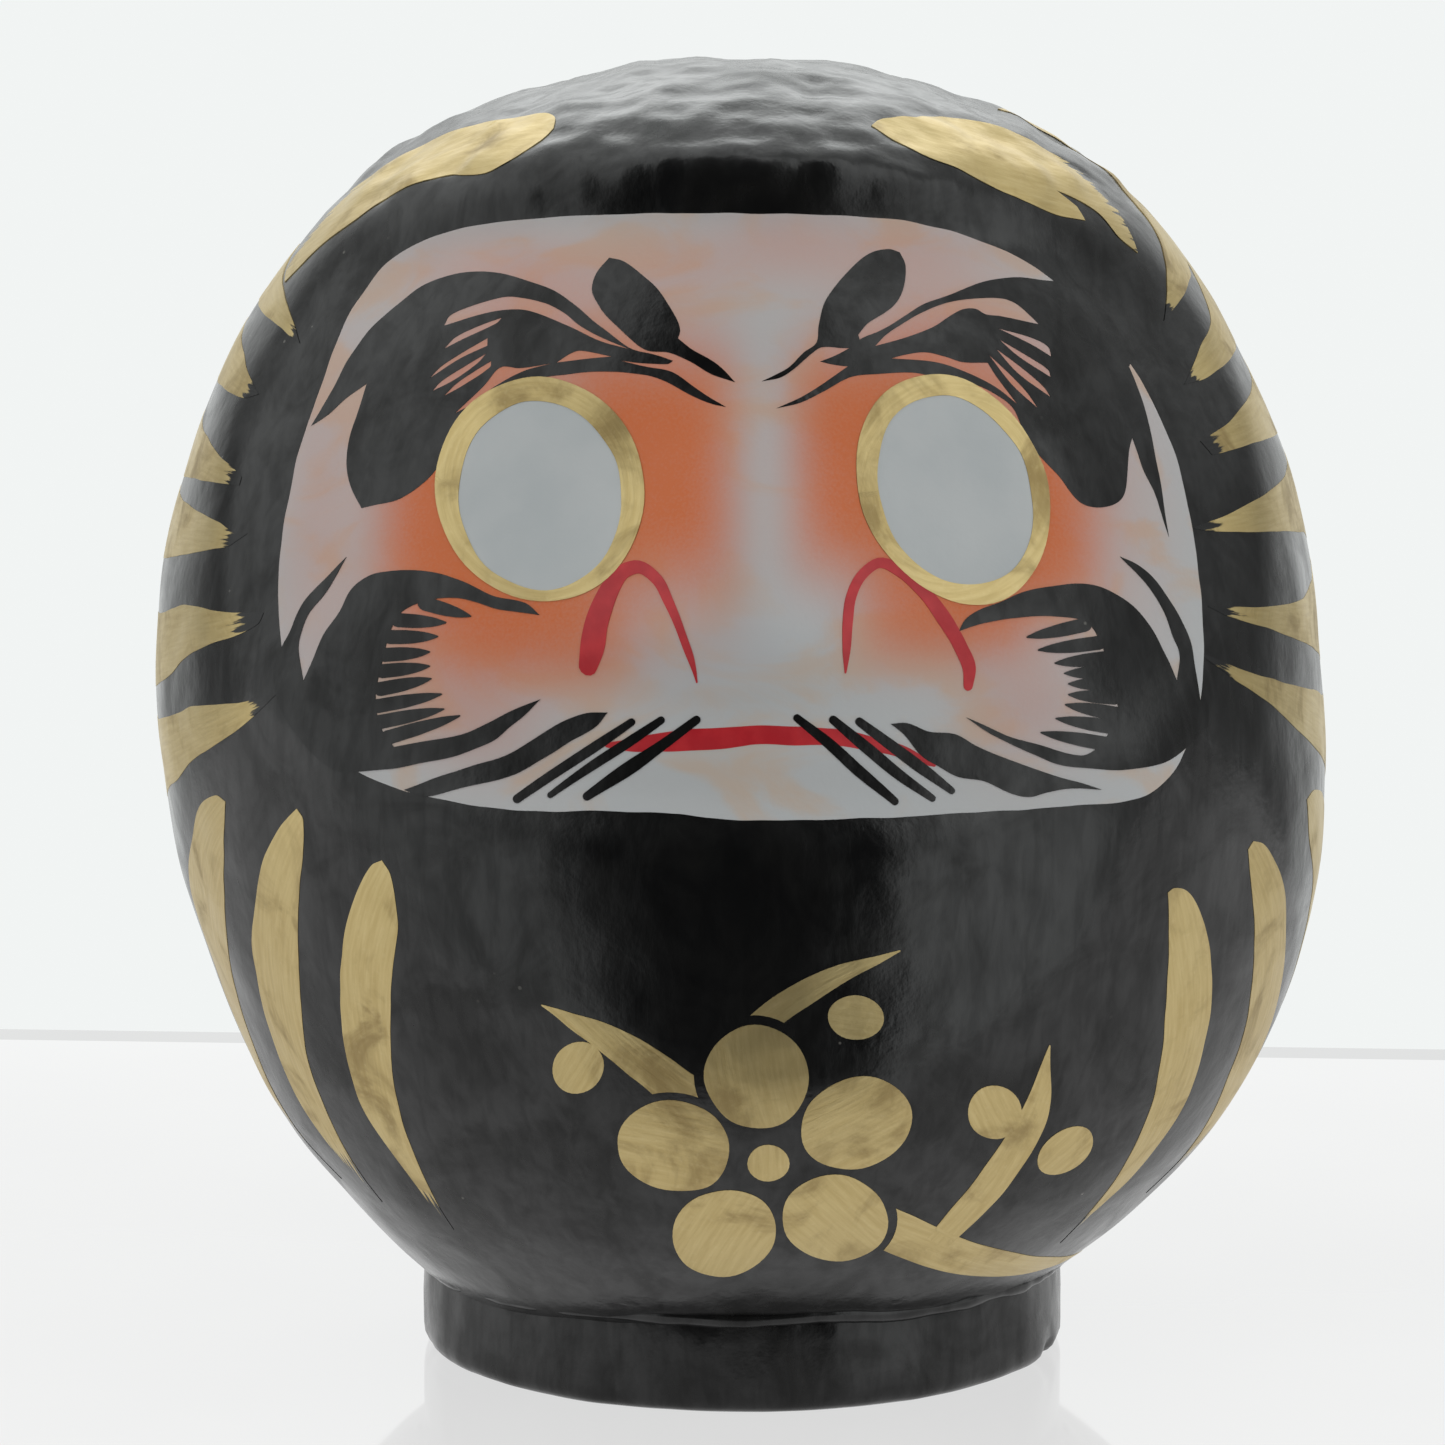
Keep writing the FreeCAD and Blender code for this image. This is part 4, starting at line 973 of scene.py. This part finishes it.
def gold_stroke(skin, chart, outline, tip=None, holes=(), lift=GOLD_LIFT):
    """One brush stroke of gold. Its paint runs dry towards the tip, if it has one."""
    notes = brush_frame(outline, CHART_SCALE[chart], tip)
    return film("gold_stroke", skin, chart, [wobbled(outline)], lift, holes, notes)


def ring_frame(ring):
    """A function that notes brush marks which run round an eye."""
    u, v, half_width = ring[:3]

    def measure(points):
        du, dv = points[:, 0] - u, points[:, 1] - v
        turn = np.arctan2(dv, du)
        return {"brush": np.stack([turn * half_width, np.hypot(du, dv), turn * 0], axis=1)}

    return measure


def tooth(root, tip):
    """One short hair of a moustache, which thins towards its tip."""
    root, tip = np.array(root), np.array(tip)
    return brush([(*(root + (tip - root) * share), half) for share, half in TOOTH])


def petal(turn, spare=0.0):
    """One petal, pointing at a turn in degrees from straight up, made larger all round by a spare width."""
    u = BLOSSOM[0] + PETAL_DISTANCE * math.sin(math.radians(turn))
    v = BLOSSOM[1] + PETAL_DISTANCE * math.cos(math.radians(turn))
    return oval(u, v, PETAL_R + spare, PETAL_R * PETAL_STRETCH + spare, tilt=turn, count=48)


def motif(skin):
    """The plum blossom, its branches, cleared round the petals, and its buds."""
    turns = [FIRST_PETAL_TURN + 360 / PETALS * i for i in range(PETALS)]
    clearings = [petal(turn, PETAL_GAP) for turn in turns]
    clearings.append(oval(*BLOSSOM, HEART_CLEARING, HEART_CLEARING))
    strokes = [gold_stroke(skin, FRONT, brush(line), holes=clearings) for line in BRANCHES]
    blooms = [wobbled(petal(turn), *PETAL_WOBBLE) for turn in turns]
    blooms.append(oval(*BLOSSOM, HEART_R, HEART_R, count=24))
    blooms += [oval(*bud, count=32) for bud in BUDS]
    strokes += [gold_stroke(skin, FRONT, bloom) for bloom in blooms]
    return join("belly_motif_film", strokes)


def round_start(stroke):
    """The stroke with a rounded end where the brush was put down, between its first and last points."""
    first, last = np.array(stroke[0], float), np.array(stroke[-1], float)
    out = np.array([math.copysign(START_ROUNDING, first[0]), 0.0])
    middle, half = (first + last) / 2 - out, (first - last) / 2
    turns = [math.radians(turn) for turn in range(-75, 90, 30)]
    cap = [tuple(middle + half * math.sin(turn) + out * math.cos(turn)) for turn in turns]
    return [tuple(middle + half)] + stroke[1:-1] + [tuple(middle - half)] + cap


def inner_tip(outline):
    """The point of a side stroke that is nearest the face."""
    return min(outline, key=lambda point: abs(point[0]))


def lowest(outline):
    return min(outline, key=lambda point: point[1])


def paint_face(skin):
    """The films of the face, by the CAD node that each stands for."""
    black = black_lacquer("black_line_paint", gloss=0.9)
    ring_gold, red, white = gold_paint("gold_ring_paint"), red_paint(), eye_paint()
    made = {}

    def add(node, material, outlines, lift, holes=(), notes=None):
        made[node] = film(f"{node}_film", skin, FRONT, outlines, lift, holes, notes)
        made[node].data.materials.append(material)

    add("face_ground", face_paint(), [wobbled(smooth_outline(GROUND))], GROUND_LIFT, notes=blush)
    lines = {
        "left": (BROW_L, BULB_L, BROW_GAPS_L, MOUSTACHE_L, TEETH_L, SWEEP_L, DIAGONALS_L, NOSE_L),
        "right": (BROW_R, BULB_R, BROW_GAPS_R, MOUSTACHE_R, TEETH_R, SWEEP_R, DIAGONALS_R, NOSE_R),
    }
    for side, (brow, bulb, gaps, moustache, teeth, sweep, diagonals, nose) in lines.items():
        shapes = [wobbled(smooth_outline(shape)) for shape in (brow, bulb)]
        add(f"eyebrow_{side}", black, shapes, LINE_LIFT, [smooth_outline(gap, 0.3) for gap in gaps])
        shapes = [wobbled(smooth_outline(shape)) for shape in (moustache, sweep)]
        shapes += [tooth(*pair) for pair in teeth] + [brush(line) for line in diagonals]
        add(f"moustache_{side}", black, shapes, TOP_LIFT)
        add(f"nose_line_{side}", red, [wobbled(brush(nose))], TOP_LIFT)
        (u, v, half_width, half_height, tilt), ring = EYES[side]
        white_shape = oval(u, v, half_width + EYE_LAP, half_height + EYE_LAP, tilt)
        add(f"eye_white_{side}", white, [wobbled(white_shape, *EYE_WOBBLE)], LINE_LIFT)
        hole = wobbled(oval(u, v, half_width, half_height, tilt), *EYE_WOBBLE)
        shapes = [wobbled(oval(*ring), *RING_WOBBLE)]
        add(f"eye_ring_{side}", ring_gold, shapes, RING_LIFT, [hole], ring_frame(ring))
    add("mouth_line", red, [wobbled(brush(MOUTH))], LINE_LIFT)
    return made


def paint_gold(skin):
    """The gold strokes and the motif, by the CAD node that each stands for."""
    gold = gold_paint("gold_stroke_paint")
    made = {}
    for node, strokes in (("hood_strokes_left", HOOD_L), ("hood_strokes_right", HOOD_R)):
        films = []
        for i, stroke in enumerate(strokes):
            outline = smooth_outline(round_start(stroke) if i else stroke)
            tip = inner_tip(outline) if i else lowest(outline)
            lift = CROWN_GOLD_LIFT if i < CROWN_STROKES else GOLD_LIFT
            films.append(gold_stroke(skin, ROUND, outline, tip, lift=lift))
        made[node] = join(f"{node}_film", films)
    for node, strokes in (("belly_strokes_left", BELLY_L), ("belly_strokes_right", BELLY_R)):
        outlines = [smooth_outline(stroke) for stroke in strokes]
        films = [gold_stroke(skin, ROUND, outline, lowest(outline)) for outline in outlines]
        made[node] = join(f"{node}_film", films)
    made["belly_motif"] = motif(skin)
    for obj in made.values():
        obj.data.materials.append(gold)
    return made


# ---------------------------------------------------------------- putting it together

skin = build_skin()
skin.data.materials.append(black_lacquer("black_lacquer"))
skin_tree = tree_of([skin])
foot = ring_of("lumpy_foot", rounded(FOOT_SECTION), foot_shape)
foot.data.materials.append(black_lacquer("foot_lacquer", gloss=0.8))
bead_section = [
    (BEAD_R + BEAD_HALF * math.cos(angle), BEAD_Z + BEAD_HALF * math.sin(angle))
    for angle in np.linspace(0, 2 * math.pi, BEAD_SIDES, endpoint=False)
]
bead = ring_of("ragged_bead", bead_section, bead_shape)
bead.data.materials.append(black_lacquer("bead_lacquer"))
pieces = {"foot_ring": foot, "foot_bead": bead, **paint_face(skin_tree), **paint_gold(skin_tree)}

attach(skin, "root")
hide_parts("shell_front", "shell_back")
for node, obj in pieces.items():
    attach(obj, "root")
    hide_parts(node)

clay = bare_clay()
kept_finishes = {
    "underside_paper": bare_paper("underside_paper_finish", (0.52, 0.43, 0.30), (0.38, 0.30, 0.20)),
    "joint_tape": bare_paper("joint_tape_finish", (0.45, 0.34, 0.21), (0.32, 0.23, 0.13)),
    "ballast": clay,
    "filling_plug": clay,
}
for node, material in kept_finishes.items():
    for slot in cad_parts[node].material_slots:
        slot.material = material


# ---------------------------------------------------------------- light, floor and camera

# The table's edges, as their y at the far left and the far right. Its back isn't quite square to the camera.
TABLE_HALF = 1500.0
# the rim strip beyond the table's back is its finish glowing less, a painted shade along the far edge
TABLE_FRONT, TABLE_BACK, TABLE_RIM = (-105.0, -105.0), (302.0, 86.0), (311.0, 95.0)
# the front glow is painted light that brightens the table towards the camera
TABLE_GLOW, RIM_SHADED_GLOW, PAINTED_FRONT_LIGHT = 0.615, 0.465, 0.06
TABLE_GREY, TABLE_PALE = (0.08, 0.08, 0.08), (0.09, 0.09, 0.089)

# The light tent, as strengths, and as degrees round from the front towards +X and degrees up. Each pair of
# angles is a soft edge, from where the thing isn't to where it is, or a rise, from low strength to high.
TENT_COLOUR = (0.975, 1.0, 0.993)
BACKDROP = 0.905
BACK_LOW_SIDES, BACK_LOW_MIDDLE, BACK_HIGH = 0.25, 0.97, 0.95
BACK_RISE = (14, 42)
LAMP = 1.0  # above the back of the tent, behind the doll
LAMP_BOTTOM, LAMP_TOP, LAMP_SIDES = (15, 22), (54, 44), (144, 168)
SIDE_LOW, SIDE_HIGH, SIDE_RISE = 0.38, 0.66, (5, 40)
LEFT_PANEL, LEFT_EDGE = 0.46, (-28, -46)
RIGHT_PANEL, RIGHT_NEAR, RIGHT_FAR = 0.68, (26, 34), (80, 64)
ROOM_LIGHT = 0.05  # the part of the side light that the dark room behind the camera has
ROOM_LEFT, ROOM_RIGHT, ROOM_TOP = (-46, -18), (34, 26), (88, 76)

FILL_LIGHT = 0.62  # watts
FILL_SIZE, FILL_PLACE, FILL_TILT = (0.9, 0.4), (0, -0.75, -0.18), 22
CAMERA_PLACE, CAMERA_TILT = (-0.00275, -0.8, 0.201), 8.334
LENS, SENSOR = 150.8, 36


def table_finish(name, glow):
    """White acrylic, lit from underneath, with painted light that makes it a little brighter towards the
    camera.
    """
    s = Shader(name)
    marks = s.noise(9, 4)
    depth = s.parts(s.place)["Y"]
    # the extra glow towards the camera is painted light
    light = s.plus(s.ramp(marks, 0.3, 0.7, 0.0, 0.01), s.ramp(depth, -0.1, 0.1, glow + PAINTED_FRONT_LIGHT, glow))
    s.set(
        Base_Color=s.mix(s.ramp(marks, 0.3, 0.7), TABLE_GREY, TABLE_PALE),
        Specular_IOR_Level=0.12,
        Roughness=s.ramp(s.noise(30, 3), 0.3, 0.7, 0.03, 0.06),
        Emission_Color=(1.0, 1.0, 1.0),
        Emission_Strength=light,
    )
    return s.material


def table_strip(name, near, far, glow):
    """A strip of table between two edges."""
    left, right = -TABLE_HALF, TABLE_HALF
    corners = [(left, near[0], 0), (right, near[1], 0), (right, far[1], 0), (left, far[0], 0)]
    obj = add_mesh(name, corners, [(0, 1, 2, 3)])
    obj.data.materials.append(table_finish(name, glow))


def light_tent():
    """The white surroundings, with the dark room showing behind the camera."""
    world = bpy.data.worlds.new("light_tent")
    world.use_nodes = True
    s = Nodes(world.node_tree)
    x, y, z = s.parts(s.node("ShaderNodeTexCoord").outputs["Generated"])
    around = s.times(s.maths("ARCTAN2", x, s.times(y, -1.0)), 180 / math.pi)
    up = s.times(s.maths("ARCSINE", z), 180 / math.pi)

    left = s.ramp(around, *LEFT_EDGE, 0.0, LEFT_PANEL)
    right = s.times(s.ramp(around, *RIGHT_NEAR), s.ramp(around, *RIGHT_FAR, 0.0, RIGHT_PANEL))
    room = s.times(s.ramp(around, *ROOM_LEFT), s.ramp(around, *ROOM_RIGHT))
    room = s.times(room, s.ramp(up, *ROOM_TOP))
    side = s.ramp(up, *SIDE_RISE, SIDE_LOW, SIDE_HIGH)
    side = s.times(side, s.maths("SUBTRACT", 1.0, s.times(room, 1 - ROOM_LIGHT)))
    front = s.plus(s.plus(left, right), side)

    low = s.ramp(y, 0.55, 0.90, BACK_LOW_SIDES, BACK_LOW_MIDDLE)
    lamp = s.times(s.ramp(up, *LAMP_BOTTOM), s.ramp(up, *LAMP_TOP))
    lamp = s.times(lamp, s.ramp(s.maths("ABSOLUTE", around), *LAMP_SIDES, 0.0, LAMP))
    back = s.plus(s.blend(s.ramp(up, *BACK_RISE), low, BACK_HIGH), lamp)

    level = s.blend(s.ramp(y, 0.18, 0.42), front, back)
    seen = s.node("ShaderNodeLightPath").outputs["Is Camera Ray"]
    background = world.node_tree.nodes["Background"]
    s.put(background.inputs["Strength"], s.blend(seen, level, BACKDROP))
    s.put(background.inputs["Color"], TENT_COLOUR)
    bpy.context.scene.world = world


def fill_light():
    """Light that the white table throws up at the face. It is too broad to show in the lacquer."""
    fill = bpy.data.objects.new("fill", bpy.data.lights.new("fill", "AREA"))
    bpy.context.scene.collection.objects.link(fill)
    fill.data.energy = FILL_LIGHT
    fill.data.shape = "RECTANGLE"
    fill.data.size, fill.data.size_y = FILL_SIZE
    fill.location = FILL_PLACE
    fill.rotation_euler = (math.radians(90 + FILL_TILT), 0, 0)
    fill.visible_glossy = False
    fill.visible_camera = False


def add_camera():
    camera = bpy.data.objects.new("camera", bpy.data.cameras.new("camera"))
    bpy.context.scene.collection.objects.link(camera)
    camera.location = CAMERA_PLACE
    camera.rotation_euler = (math.radians(90 - CAMERA_TILT), 0, 0)
    camera.data.lens = LENS
    camera.data.sensor_width = SENSOR
    camera.data.clip_start = 0.01
    bpy.context.scene.camera = camera


table_strip("table_top", TABLE_FRONT, TABLE_BACK, TABLE_GLOW)
# the rim is a copy of the table's finish that glows less: painted shade along the table's far edge
table_strip("table_edge", TABLE_BACK, TABLE_RIM, RIM_SHADED_GLOW)
light_tent()
fill_light()
add_camera()
bpy.context.scene.view_settings.view_transform = "Standard"
